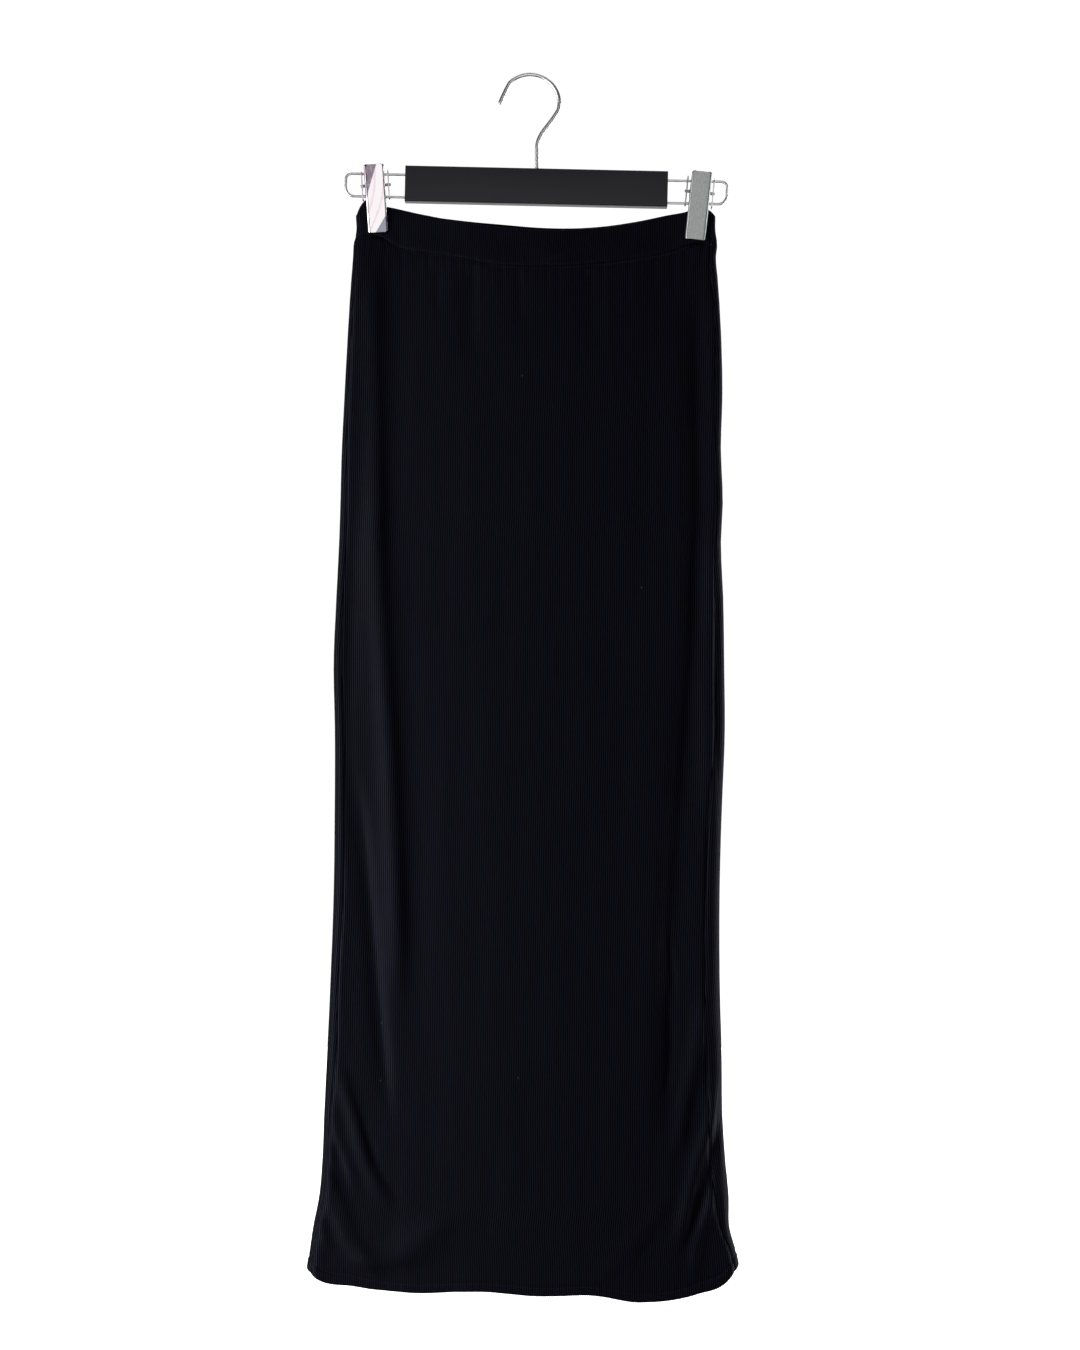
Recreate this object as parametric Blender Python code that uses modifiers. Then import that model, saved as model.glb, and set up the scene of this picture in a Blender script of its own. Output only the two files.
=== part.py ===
"""A ribbed knit maxi skirt hung by its waistband from a bar hanger with two spring clips.

The part hangs: its origin is the inside top of the hook's crook, where a rail bears on the wire.
+X is the wearer's left and the viewer's right, the front of the skirt faces -Y, and +Z is up.
The tables are in millimetres and every object is in metres.

The skirt is one flattened tube. A point of it has a ring angle, 0 at the centre front, 90 degrees
at the viewer's right edge and 180 at the centre back, and a height. The outline table gives the
tube's two edges, the depth table gives how far its front and back stand apart, and the fold table
adds ridges and troughs. The panels and the bands are walls cut out of that tube along its seams.
"""
import math
from collections import namedtuple

import bmesh
import bpy
import numpy as np
from mathutils import Matrix, Vector

MM = 0.001

# Cloth
PANEL_WALL = 1.4
BAND_WALL = 2.4
HEM_WALL = 2.2
HEM_DEPTH = 8.0
HEM_STEP = 1.5
SEAM_GAP = 0.3
LAYER_ROOM = 0.25
PANEL_COLUMNS = {"front": 33, "back": 29}
BAND_COLUMNS = 29
BAND_ROWS = 4
EDGE_CROWDING = 0.3

# Hanger
HANGER_CENTRE = (5.8, 0.0, -100.9)
HANGER_TILT = math.radians(1.25)
BAR_SIZE = (238.8, 12.0, 32.4)
BAR_EDGE_RADIUS = 1.6
WIRE_DIAMETER = 2.6
LOOP_REACH = 173.6
LOOP_TOP = 8.8
LOOP_BOTTOM = -11.7
LOOP_UPPER_CORNER = 5.5
LOOP_LOWER_CORNER = 8.0
LOOP_SOCKET = 14.0
HOOK_DIAMETER = 3.8
HOOK_RADIUS = 26.6
CROOK_START = 130.0
CROOK_END = -12.0
HOOK_TIP_HEIGHTS = (-24.6, -17.0, -9.5, -6.2)
HOOK_TIP_PLACES = (-27.5, -24.2, -20.5, -18.7)
HOOK_STEM = 6.2
HOOK_SOCKET = 14.0
RUNNING_GAP = 0.35

# Clips, measured from the pin that the two plates turn on
CLIP_PLACES = {"left": -146.4, "right": 148.8}
CLIP_LEAN = math.radians(4.65)
PLATE_ABOVE_PIN = 16.4
PLATE_BELOW_PIN = 43.8
PLATE_WALL = 1.0
PLATE_WIDTHS = {"front": 18.5, "back": 15.6}
PLATE_CORNER = 1.6
PLATE_SPREAD = math.radians(6.5)
FLANGE_DEPTH = 2.6
JAW_ROOM = 4.4
EAR_RADIUS = 5.0
PIN_RADIUS = 1.4
PIN_LENGTH = 26.4
CHEEK_PLACE = 12.0
CHEEK_WALL = 1.2
CHEEK_HALF_DEPTH = 4.0
CHEEK_BORDER = 1.3
SPRING_RADIUS = 3.4
SPRING_LENGTH = 11.0
PAD_HEIGHT = 15.0
PAD_ABOVE_JAW = 1.6
PAD_INSET = 2.8
CLOTH_FACE = 2.9
TOUCH_GAP = 0.3

# The tube's edges at each height, and how far inside them the side seams lie on the front
OutlineRow = namedtuple("OutlineRow", "height left right left_seam right_seam")
OUTLINE = [
    OutlineRow(-112.0, -157.8, 167.4, 1.5, 5.0),
    OutlineRow(-126.0, -158.8, 168.4, 1.5, 5.0),
    OutlineRow(-142.0, -158.4, 168.6, 1.6, 5.0),
    OutlineRow(-152.0, -160.4, 170.2, 1.8, 5.2),
    OutlineRow(-164.0, -161.0, 169.0, 2.2, 5.5),
    OutlineRow(-184.0, -162.6, 170.8, 3.0, 6.4),
    OutlineRow(-215.0, -164.6, 172.9, 3.4, 5.2),
    OutlineRow(-290.0, -168.6, 175.2, 3.0, 7.2),
    OutlineRow(-340.0, -171.0, 173.8, 4.4, 5.4),
    OutlineRow(-390.0, -172.4, 175.5, 5.8, 6.0),
    OutlineRow(-422.0, -173.5, 173.8, 6.8, 6.8),
    OutlineRow(-477.0, -176.3, 175.7, 6.5, 8.0),
    OutlineRow(-532.0, -178.6, 176.4, 7.3, 8.4),
    OutlineRow(-600.0, -177.5, 177.0, 9.3, 8.8),
    OutlineRow(-660.0, -177.7, 174.8, 10.0, 12.3),
    OutlineRow(-740.0, -178.6, 172.7, 9.4, 13.4),
    OutlineRow(-830.0, -182.0, 172.9, 7.5, 14.2),
    OutlineRow(-895.0, -185.0, 174.6, 9.0, 14.8),
    OutlineRow(-945.0, -187.3, 175.0, 5.5, 13.0),
    OutlineRow(-985.0, -188.8, 177.4, 3.4, 14.0),
    OutlineRow(-1020.0, -191.9, 180.6, 3.2, 12.8),
    OutlineRow(-1050.0, -197.8, 181.7, 3.4, 7.6),
    OutlineRow(-1068.0, -200.4, 186.8, 3.6, 5.4),
    OutlineRow(-1084.0, -202.8, 190.3, 3.8, 4.6),
]

# How deep the tube is: the roll is the length of each rounded edge and the flat its half depth
# there, and the bellies are what the front and back add within the reach, a share of the half width
DepthRow = namedtuple("DepthRow", "height roll flat front_belly back_belly reach")
DEPTH = [
    DepthRow(-112.0, 3.0, 2.9, 8.0, 6.5, 0.74),
    DepthRow(-146.0, 3.0, 2.9, 9.0, 7.5, 0.75),
    DepthRow(-166.0, 4.2, 3.9, 9.3, 7.6, 0.78),
    DepthRow(-210.0, 6.5, 5.4, 9.6, 7.8, 0.82),
    DepthRow(-320.0, 9.0, 7.0, 10.0, 8.0, 0.87),
    DepthRow(-560.0, 11.0, 8.5, 11.5, 9.5, 0.92),
    DepthRow(-850.0, 12.0, 9.5, 13.0, 11.0, 0.94),
    DepthRow(-1110.0, 12.0, 10.5, 15.0, 13.0, 0.96),
]

# The heights of the tube's free and sewn edges, across the front and back: -1 and 1 are its edges
EdgeRow = namedtuple("EdgeRow", "across front back")
BAND_TOP = [
    EdgeRow(-1.000, -126.0, -126.0),
    EdgeRow(-0.965, -115.8, -116.4),
    EdgeRow(-0.820, -119.3, -119.5),
    EdgeRow(-0.640, -126.0, -125.5),
    EdgeRow(-0.420, -133.6, -130.0),
    EdgeRow(-0.190, -139.6, -133.0),
    EdgeRow(0.030, -142.0, -135.8),
    EdgeRow(0.360, -139.6, -135.5),
    EdgeRow(0.580, -133.7, -131.0),
    EdgeRow(0.820, -124.5, -123.8),
    EdgeRow(0.965, -121.2, -121.2),
    EdgeRow(1.000, -127.0, -127.0),
]
BAND_SEAM = [
    EdgeRow(-1.00, -146.5, -146.5),
    EdgeRow(-0.88, -145.5, -145.5),
    EdgeRow(-0.74, -156.5, -152.0),
    EdgeRow(-0.50, -163.8, -160.0),
    EdgeRow(-0.20, -173.8, -166.0),
    EdgeRow(0.12, -175.2, -168.0),
    EdgeRow(0.45, -170.0, -164.5),
    EdgeRow(0.74, -160.5, -156.0),
    EdgeRow(0.90, -151.5, -151.5),
    EdgeRow(1.00, -152.5, -152.5),
]
HEM_EDGE = [
    EdgeRow(-1.00, -1085.5, -1085.5),
    EdgeRow(-0.95, -1092.5, -1090.5),
    EdgeRow(-0.78, -1098.0, -1095.5),
    EdgeRow(-0.52, -1102.0, -1098.0),
    EdgeRow(-0.20, -1099.6, -1102.5),
    EdgeRow(0.10, -1103.6, -1101.0),
    EdgeRow(0.30, -1103.2, -1103.0),
    EdgeRow(0.55, -1111.0, -1105.5),
    EdgeRow(0.80, -1105.5, -1102.0),
    EdgeRow(0.93, -1096.5, -1094.5),
    EdgeRow(1.00, -1082.0, -1082.0),
]

# Folds: each runs from its top to its bottom height past places across the tube that are evenly
# spaced in height. It rises above the cloth (or sinks, where negative), over its left and right widths
Fold = namedtuple("Fold", "name face top bottom across rise left_width right_width")
FOLDS = [
    Fold("under_left_clip", "front", -150, -440, (-142, -140, -135), 3.0, 12, 7),
    Fold("left_long_ridge", "front", -330, -905, (-136, -131, -127, -129, -123, -118), 4.2, 13, 7),
    Fold("left_groove", "front", -620, -960, (-160, -150, -144, -132), -3.0, 7, 7),
    Fold("left_hip_1", "front", -892, -1032, (-176, -160, -147, -121), 3.4, 8, 10),
    Fold("left_hip_2", "front", -985, -1092, (-188, -175, -160, -128), 4.2, 8, 10),
    Fold("left_swag", "front", -1028, -1084, (-72, -90, -110, -152), 3.0, 13, 13),
    Fold("waist_gather_1", "front", -166, -260, (-52, -53, -54), -1.6, 10, 10),
    Fold("waist_gather_2", "front", -168, -245, (52, 54, 56), -1.4, 11, 11),
    Fold("under_right_clip", "front", -165, -560, (153, 153, 153, 152), -3.0, 10, 11),
    Fold("right_valley", "front", -470, -1000, (152, 143, 131, 126, 127), -3.2, 10, 20),
    Fold("right_shoulder", "front", -180, -1000, (134, 134, 134, 126, 112, 108, 110), 1.8, 32, 9),
    Fold("right_edge_ridge", "front", -400, -700, (164, 163, 161, 163, 166), 2.4, 10, 8),
    Fold("right_knee_1", "front", -820, -985, (160, 153, 141, 132), 2.8, 8, 8),
    Fold("right_knee_2", "front", -905, -1074, (166, 162, 155, 144, 132), 4.2, 8, 8),
    Fold("right_corner", "front", -990, -1092, (168, 163, 153, 146), 2.6, 7, 8),
    Fold("back_left_valley", "back", -160, -700, (-128, -124, -116, -106), -2.6, 15, 18),
    Fold("back_left_ridge", "back", -380, -1010, (-158, -150, -138, -126, -112), 4.2, 10, 18),
    Fold("back_left_knee", "back", -900, -1088, (-178, -165, -150, -128), 3.8, 9, 11),
    Fold("back_right_valley", "back", -160, -820, (140, 136, 126, 112), -2.6, 17, 15),
    Fold("back_right_ridge", "back", -420, -1020, (158, 152, 144, 128, 118), 4.0, 17, 10),
    Fold("back_right_knee", "back", -930, -1080, (170, 158, 146, 132), 3.6, 12, 9),
    Fold("back_middle", "back", -178, -420, (8, 4, -2), 1.6, 24, 26),
]
FOLD_TAPER = 0.22

# Rows of the panels: down to each height they are this far apart. Both panels share them, so that
# their edges run side by side along the seams
RowZone = namedtuple("RowZone", "down_to spacing")
ROW_ZONES = [RowZone(-185, 14), RowZone(-330, 36), RowZone(-870, 48), RowZone(-1110, 18)]

# Finishes: colour, roughness and metallic value
FINISHES = {
    "knit": ((0.006, 0.006, 0.010), 0.75, 0.0),
    "bar": ((0.022, 0.024, 0.029), 0.45, 0.0),
    "chrome": ((0.80, 0.80, 0.80), 0.12, 1.0),
    "steel": ((0.45, 0.47, 0.46), 0.35, 1.0),
    "pad": ((0.60, 0.59, 0.56), 0.60, 0.0),
}


def column(table, name):
    """One named column of a table, as an array."""
    return np.array([getattr(row, name) for row in table], dtype=float)


def smooth_curve(stations, values, at):
    """The cubic curve through the values at rising stations, level beyond the first and last."""
    slopes = np.gradient(values, stations)
    left = np.clip(np.searchsorted(stations, at) - 1, 0, len(stations) - 2)
    span = stations[left + 1] - stations[left]
    t = np.clip((at - stations[left]) / span, 0.0, 1.0)
    start = (1 + 2 * t) * (1 - t) ** 2 * values[left] + t * (1 - t) ** 2 * span * slopes[left]
    end = t ** 2 * (3 - 2 * t) * values[left + 1] - t ** 2 * (1 - t) * span * slopes[left + 1]
    return start + end


def at_height(table, name, height):
    """A column of a table that is ordered from the top down, read smoothly at a height."""
    return smooth_curve(column(table, "height")[::-1], column(table, name)[::-1], height)


def edge_height(table, angle):
    """The height of an edge or seam at a ring angle."""
    across = np.sin(angle)
    stations = column(table, "across")
    front = smooth_curve(stations, column(table, "front"), across)
    back = smooth_curve(stations, column(table, "back"), across)
    return np.where(np.cos(angle) >= 0, front, back)


def ease(share):
    """A smooth step from 0 to 1."""
    share = np.clip(share, 0.0, 1.0)
    return share * share * (3 - 2 * share)


def fold_rise(fold, x, height):
    """How far one fold lifts the cloth: a bell across its path that fades at both ends."""
    share = (fold.top - height) / (fold.top - fold.bottom)
    stations = np.linspace(0.0, 1.0, len(fold.across))
    across = np.array(fold.across, dtype=float)
    path = smooth_curve(stations, across, share)
    lean = smooth_curve(stations, np.gradient(across, stations), share) / (fold.top - fold.bottom)
    distance = (x - path) / np.sqrt(1 + lean ** 2)
    width = np.where(distance < 0, fold.left_width, fold.right_width)
    fade = ease(share / FOLD_TAPER) * ease((1 - share) / FOLD_TAPER)
    return fold.rise * fade * np.exp(-(distance / width) ** 2)


def tube_point(angle, height):
    """The tube's outer surface: x follows the sine of the ring angle between the two edges."""
    left = at_height(OUTLINE, "left", height)
    right = at_height(OUTLINE, "right", height)
    half_width = (right - left) / 2
    across = np.sin(angle)
    x = (left + right) / 2 + half_width * across

    roll = at_height(DEPTH, "roll", height)
    from_edge = half_width * (1 - np.abs(across))
    rounding = np.sqrt(1 - (1 - np.minimum(from_edge / roll, 1.0)) ** 2)
    in_reach = 1 - np.minimum(np.abs(across) / at_height(DEPTH, "reach", height), 1.0) ** 2

    facing_front = np.cos(angle) >= 0
    belly = np.where(facing_front, at_height(DEPTH, "front_belly", height),
                     at_height(DEPTH, "back_belly", height)) * in_reach ** 1.5
    lift = np.zeros_like(x)
    for fold in FOLDS:
        on_face = facing_front == (fold.face == "front")
        lift += np.where(on_face, fold_rise(fold, x, height), 0.0)
    depth = np.maximum(at_height(DEPTH, "flat", height) + belly + lift, PANEL_WALL + LAYER_ROOM)
    y = np.where(facing_front, -1.0, 1.0) * depth * rounding
    return np.stack([x, y, height + 0.0 * x], axis=-1)


def tube_normal(angle, height, step=0.004):
    """The tube's outward direction, across its two tangents."""
    around = tube_point(angle + step, height) - tube_point(angle - step, height)
    rise = 125 * step
    upward = tube_point(angle, height + rise) - tube_point(angle, height - rise)
    normal = np.cross(around, upward)
    return normal / np.linalg.norm(normal, axis=-1, keepdims=True)


def seam_angle(side, height):
    """The ring angle of a side seam, which lies on the front just inside the tube's edge."""
    half_width = (at_height(OUTLINE, "right", height) - at_height(OUTLINE, "left", height)) / 2
    inside = at_height(OUTLINE, side + "_seam", height)
    angle = np.arcsin(1 - inside / half_width)
    return angle if side == "right" else -angle


def beside_seam(angle, height, toward):
    """A ring angle moved half the seam's gap to one side."""
    step = 0.004
    run = tube_point(angle + step, height) - tube_point(angle - step, height)
    return angle + toward * (SEAM_GAP / 2) * 2 * step / np.linalg.norm(run, axis=-1)


def panel_angle(face, share, height):
    """The ring angle at a share of the way across the front or back, from seam to seam."""
    left = seam_angle("left", height)
    right = seam_angle("right", height)
    if face == "front":
        start, end = beside_seam(left, height, 1), beside_seam(right, height, -1)
    else:
        start = beside_seam(right, height, 1)
        end = beside_seam(left, height, -1) + 2 * math.pi
    return start + (end - start) * share


def crowded(count):
    """Even shares from 0 to 1, drawn closer together towards the edges."""
    share = np.linspace(0.0, 1.0, count)
    return share - EDGE_CROWDING / (2 * math.pi) * np.sin(2 * math.pi * share)


def grid_on_tube(face, columns, height_at):
    """Angles and heights of a grid whose rows follow the edges: settles in a few rounds."""
    share = crowded(columns)[None, :]
    height = height_at(panel_angle(face, share, np.array([[-600.0]])))
    for _ in range(4):
        angle = panel_angle(face, share, height)
        height = height_at(angle)
    return panel_angle(face, share, height), height


def panel_rows():
    """Shares of the way down from the waist seam to the hem, closer together in the folds."""
    top = float(np.mean(column(BAND_SEAM, "front")))
    bottom = float(np.mean(column(HEM_EDGE, "front"))) + HEM_DEPTH + HEM_STEP
    heights = [top]
    for zone in ROW_ZONES:
        end = max(zone.down_to, bottom)
        steps = max(1, round((heights[-1] - end) / zone.spacing))
        heights += list(np.linspace(heights[-1], end, steps + 1)[1:])
    return (top - np.array(heights)) / (top - bottom)


def wall_object(name, angle, height, thickness, finish):
    """A closed wall of cloth: the outer grid, the same grid moved in along the normals, and rims."""
    outer = tube_point(angle, height)
    inner = outer - tube_normal(angle, height) * thickness[..., None]
    rows, columns = angle.shape
    index = np.arange(rows * columns).reshape(rows, columns)
    skin = np.stack([index[1:, :-1], index[1:, 1:], index[:-1, 1:], index[:-1, :-1]], axis=-1)
    border = np.concatenate([index[0, :], index[1:, -1], index[-1, -2::-1], index[-2:0:-1, 0]])
    after = np.roll(border, -1)
    lining = rows * columns
    rim = np.stack([border, after, after + lining, border + lining], axis=-1)
    faces = np.concatenate([skin.reshape(-1, 4), skin.reshape(-1, 4)[:, ::-1] + lining, rim])
    points = np.concatenate([outer.reshape(-1, 3), inner.reshape(-1, 3)]) * MM
    mesh = bpy.data.meshes.new(name)
    mesh.from_pydata(points.tolist(), [], faces.tolist())
    mesh.validate()
    return finished(name, mesh, finish)


def make_panel(name, face):
    """One panel: the hem is the same wall made thicker where the edge is turned up inside."""
    body_shares = panel_rows()
    hem_drops = np.array([HEM_STEP, HEM_STEP + HEM_DEPTH / 2, HEM_STEP + HEM_DEPTH])
    share = np.concatenate([body_shares, np.ones(len(hem_drops))])[:, None]
    drop = np.concatenate([0.0 * body_shares, hem_drops])[:, None]

    def height_at(angle):
        top = edge_height(BAND_SEAM, angle) - SEAM_GAP / 2
        hem_top = edge_height(HEM_EDGE, angle) + HEM_STEP + HEM_DEPTH
        return top + (hem_top - top) * share - drop

    angle, height = grid_on_tube(face, PANEL_COLUMNS[face], height_at)
    thickness = np.full(angle.shape, PANEL_WALL)
    thickness[-len(hem_drops):] = HEM_WALL
    return wall_object(name, angle, height, thickness, "knit")


def make_band(name, face):
    """One waistband piece, from the seam up to its folded top edge."""
    shares = np.linspace(1.0, 0.0, BAND_ROWS + 1)

    def height_at(angle):
        top = edge_height(BAND_TOP, angle)
        bottom = edge_height(BAND_SEAM, angle) + SEAM_GAP / 2
        return bottom + (top - bottom) * shares[:, None]

    angle, height = grid_on_tube(face, BAND_COLUMNS, height_at)
    return wall_object(name, angle, height, np.full(angle.shape, BAND_WALL), "knit")


def finish_material(name):
    """The Principled material of a finish, made once."""
    material = bpy.data.materials.get(name)
    if material is None:
        colour, roughness, metallic = FINISHES[name]
        material = bpy.data.materials.new(name)
        material.use_nodes = True
        shader = material.node_tree.nodes["Principled BSDF"]
        shader.inputs["Base Color"].default_value = (*colour, 1.0)
        shader.inputs["Roughness"].default_value = roughness
        shader.inputs["Metallic"].default_value = metallic
    return material


def finished(name, data, finish, parent=None, collection="skirt_on_hanger"):
    """An object of the part from a mesh or curve, with its finish, in the part's collection."""
    data.name = name
    thing = bpy.data.objects.new(name, data)
    data.materials.append(finish_material(finish))
    bpy.data.collections[collection].objects.link(thing)
    thing.parent = parent
    return thing


def empty_frame(name, location, turn, parent=None):
    """A frame that pieces are placed in, turned about the Y axis."""
    frame = bpy.data.objects.new(name, None)
    frame.location = Vector(location) * MM
    frame.rotation_euler = (0.0, turn, 0.0)
    bpy.data.collections["skirt_on_hanger"].objects.link(frame)
    frame.parent = parent
    return frame


def mesh_from(name, build):
    """A mesh made by a bmesh recipe."""
    work = bmesh.new()
    build(work)
    work.normal_update()
    bmesh.ops.recalc_face_normals(work, faces=work.faces)
    mesh = bpy.data.meshes.new(name)
    work.to_mesh(mesh)
    work.free()
    return mesh


def box(name, size, finish, parent):
    """A box centred on its own origin."""
    def build(work):
        bmesh.ops.create_cube(work, size=1.0, matrix=Matrix.Diagonal((*(Vector(size) * MM), 1.0)))
    return finished(name, mesh_from(name, build), finish, parent)


def rod(name, radius, length, axis, finish, parent, sides=16, collection="skirt_on_hanger"):
    """A round rod centred on its own origin, along one axis."""
    turn = {"X": Matrix.Rotation(math.pi / 2, 4, "Y"), "Z": Matrix.Identity(4)}[axis]

    def build(work):
        bmesh.ops.create_cone(work, cap_ends=True, segments=sides, radius1=radius * MM,
                              radius2=radius * MM, depth=length * MM, matrix=turn)
    return finished(name, mesh_from(name, build), finish, parent, collection)


def bevel(thing, width, segments=2):
    """Rounded edges."""
    modifier = thing.modifiers.new("rounded_edges", "BEVEL")
    modifier.width = width * MM
    modifier.segments = segments
    modifier.limit_method = "ANGLE"


def cut(thing, cutter):
    """A hole through or into a piece."""
    cutter.hide_render = True
    cutter.display_type = "WIRE"
    modifier = thing.modifiers.new("hole", "BOOLEAN")
    modifier.operation = "DIFFERENCE"
    modifier.object = cutter


def arc(centre, radius, start, end, count):
    """Points in the XZ plane along an arc, angles in degrees from +X towards +Z."""
    turn = np.radians(np.linspace(start, end, count))
    return [(centre[0] + radius * math.cos(a), 0.0, centre[1] + radius * math.sin(a)) for a in turn]


def wire(name, points, diameter, finish, parent=None):
    """A round wire along a route, with closed ends."""
    curve = bpy.data.curves.new(name, "CURVE")
    curve.dimensions = "3D"
    curve.bevel_depth = diameter / 2 * MM
    curve.bevel_resolution = 2
    curve.use_fill_caps = True
    spline = curve.splines.new("POLY")
    spline.points.add(len(points) - 1)
    for place, point in zip(spline.points, points):
        place.co = (*(Vector(point) * MM), 1.0)
    return finished(name, curve, finish, parent)


def hook_route():
    """The hook: a nearly straight tip, a round crook, an easy reverse bend on its right and the
    stem down into the bar."""
    centre = (0.0, HOOK_DIAMETER / 2 - HOOK_RADIUS)
    crook = arc(centre, HOOK_RADIUS, CROOK_START, CROOK_END, 20)
    tip_heights = np.array(HOOK_TIP_HEIGHTS + (crook[0][2],))
    tip_places = np.array(HOOK_TIP_PLACES + (crook[0][0],))
    tip = [(float(smooth_curve(tip_heights, tip_places, z)), 0.0, float(z))
           for z in np.linspace(HOOK_TIP_HEIGHTS[0], crook[0][2], 7)[:-1]]
    bend_heights = np.array([-84.0, -70.0, -62.0, -54.0, -43.5, -36.0, crook[-1][2]])
    bend_places = np.array([HOOK_STEM, HOOK_STEM, 6.6, 9.4, 16.8, 22.4, crook[-1][0]])
    heights = np.linspace(crook[-1][2], -84.0, 15)[1:]
    neck = [(float(smooth_curve(bend_heights, bend_places, z)), 0.0, float(z)) for z in heights]
    foot = HANGER_CENTRE[2] + BAR_SIZE[2] / 2 - HOOK_SOCKET
    return tip + crook + neck + [(HOOK_STEM, 0.0, foot)]


def make_hanger():
    """The bar with its sockets, the hook and the two wire loops."""
    hanger = empty_frame("hanger_frame", HANGER_CENTRE, HANGER_TILT)
    bar = box("hanger_bar", BAR_SIZE, "bar", hanger)
    bevel(bar, BAR_EDGE_RADIUS)
    bar_top = BAR_SIZE[2] / 2
    hook_cutter = rod("hook_socket", HOOK_DIAMETER / 2 + RUNNING_GAP, 2 * (HOOK_SOCKET + 1), "Z",
                      "bar", None, collection="cutters")
    hook_cutter.location = Vector((HOOK_STEM, 0, HANGER_CENTRE[2] + bar_top)) * MM
    cut(bar, hook_cutter)
    wire("hanger_hook", hook_route(), HOOK_DIAMETER, "chrome")

    bar_end = BAR_SIZE[0] / 2
    for side, sign in (("left", -1), ("right", 1)):
        for level, height in (("top", LOOP_TOP), ("bottom", LOOP_BOTTOM)):
            socket = rod(f"loop_socket_{side}_{level}", WIRE_DIAMETER / 2 + RUNNING_GAP,
                         2 * (LOOP_SOCKET + 1), "X", "bar", hanger, collection="cutters")
            socket.location = Vector((sign * bar_end, 0, height)) * MM
            cut(bar, socket)
        upper = arc((LOOP_REACH - LOOP_UPPER_CORNER, LOOP_TOP - LOOP_UPPER_CORNER),
                    LOOP_UPPER_CORNER, 90, 0, 6)
        lower = arc((LOOP_REACH - LOOP_LOWER_CORNER, LOOP_BOTTOM + LOOP_LOWER_CORNER),
                    LOOP_LOWER_CORNER, 0, -90, 8)
        foot = bar_end - LOOP_SOCKET
        route = [(foot, 0, LOOP_TOP)] + upper + lower + [(foot, 0, LOOP_BOTTOM)]
        wire(f"hanger_loop_{side}", [(sign * x, y, z) for x, y, z in route], WIRE_DIAMETER,
             "chrome", hanger)
    return hanger


def plate_gap(height):
    """Half the room between the two plates' inner faces, at a height from the pin."""
    return JAW_ROOM + (height + PLATE_BELOW_PIN) * math.tan(PLATE_SPREAD)


def make_plate(name, face, finish, clip):
    """A pressed plate: flat outside, with rolled edges, shallow flanges and an ear at the pin."""
    half = PLATE_WIDTHS[face] / 2 - PLATE_WALL / 2
    toward = 1.0 if face == "front" else -1.0
    heights = [-PLATE_BELOW_PIN, 1 - PLATE_BELOW_PIN, -24, -EAR_RADIUS - 4, -EAR_RADIUS, -3.6, -1.6]
    heights += [1.6, 3.6, EAR_RADIUS, EAR_RADIUS + 4, PLATE_ABOVE_PIN - 1, PLATE_ABOVE_PIN]
    turn = np.radians(np.linspace(90, 0, 4))
    corner_x = half - PLATE_CORNER + PLATE_CORNER * np.cos(turn)
    corner_y = PLATE_CORNER - PLATE_CORNER * np.sin(turn)
    points = []
    for height in heights:
        middle = plate_gap(height) + PLATE_WALL / 2
        if abs(height) <= EAR_RADIUS:
            edge = middle + math.sqrt(EAR_RADIUS ** 2 - height ** 2)
        else:
            edge = min(FLANGE_DEPTH, middle - CLOTH_FACE - TOUCH_GAP)
        half_row = [(x, y) for x, y in zip(corner_x, corner_y)] + [(half, edge)]
        row = [(-x, y) for x, y in reversed(half_row)] + half_row
        points.append([(x, toward * (y - middle), height) for x, y in row])

    def build(work):
        grid = [[work.verts.new(Vector(p) * MM) for p in row] for row in points]
        for low, high in zip(grid, grid[1:]):
            for a, b, c, d in zip(low, low[1:], high[1:], high):
                work.faces.new((a, b, c, d))

    plate = finished(name, mesh_from(name, build), finish, clip)
    wall = plate.modifiers.new("wall", "SOLIDIFY")
    wall.thickness = PLATE_WALL * MM
    wall.offset = 0.0
    wall.use_even_offset = True
    return plate


def make_pad(name, face, clip):
    """A jaw pad that fills the wedge between the plate and the cloth."""
    toward = -1.0 if face == "front" else 1.0
    width = PLATE_WIDTHS[face] - 2 * PAD_INSET
    low = -PLATE_BELOW_PIN + PAD_ABOVE_JAW
    near = CLOTH_FACE + TOUCH_GAP

    def build(work):
        bmesh.ops.create_cube(work, size=1.0)
        for corner in work.verts:
            height = low + (corner.co.z + 0.5) * PAD_HEIGHT
            far = plate_gap(height) - TOUCH_GAP
            depth = far if corner.co.y > 0 else near
            corner.co = Vector((corner.co.x * width, toward * depth, height)) * MM

    return finished(name, mesh_from(name, build), "pad", clip)


def circle_spline(curve, centre, radius, sides=16):
    """A closed round outline on a flat curve."""
    spline = curve.splines.new("POLY")
    spline.points.add(sides - 1)
    for step, place in enumerate(spline.points):
        a = 2 * math.pi * step / sides
        place.co = ((centre[0] + radius * math.cos(a)) * MM, (centre[1] + radius * math.sin(a)) * MM, 0, 1)
    spline.use_cyclic_u = True


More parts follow.
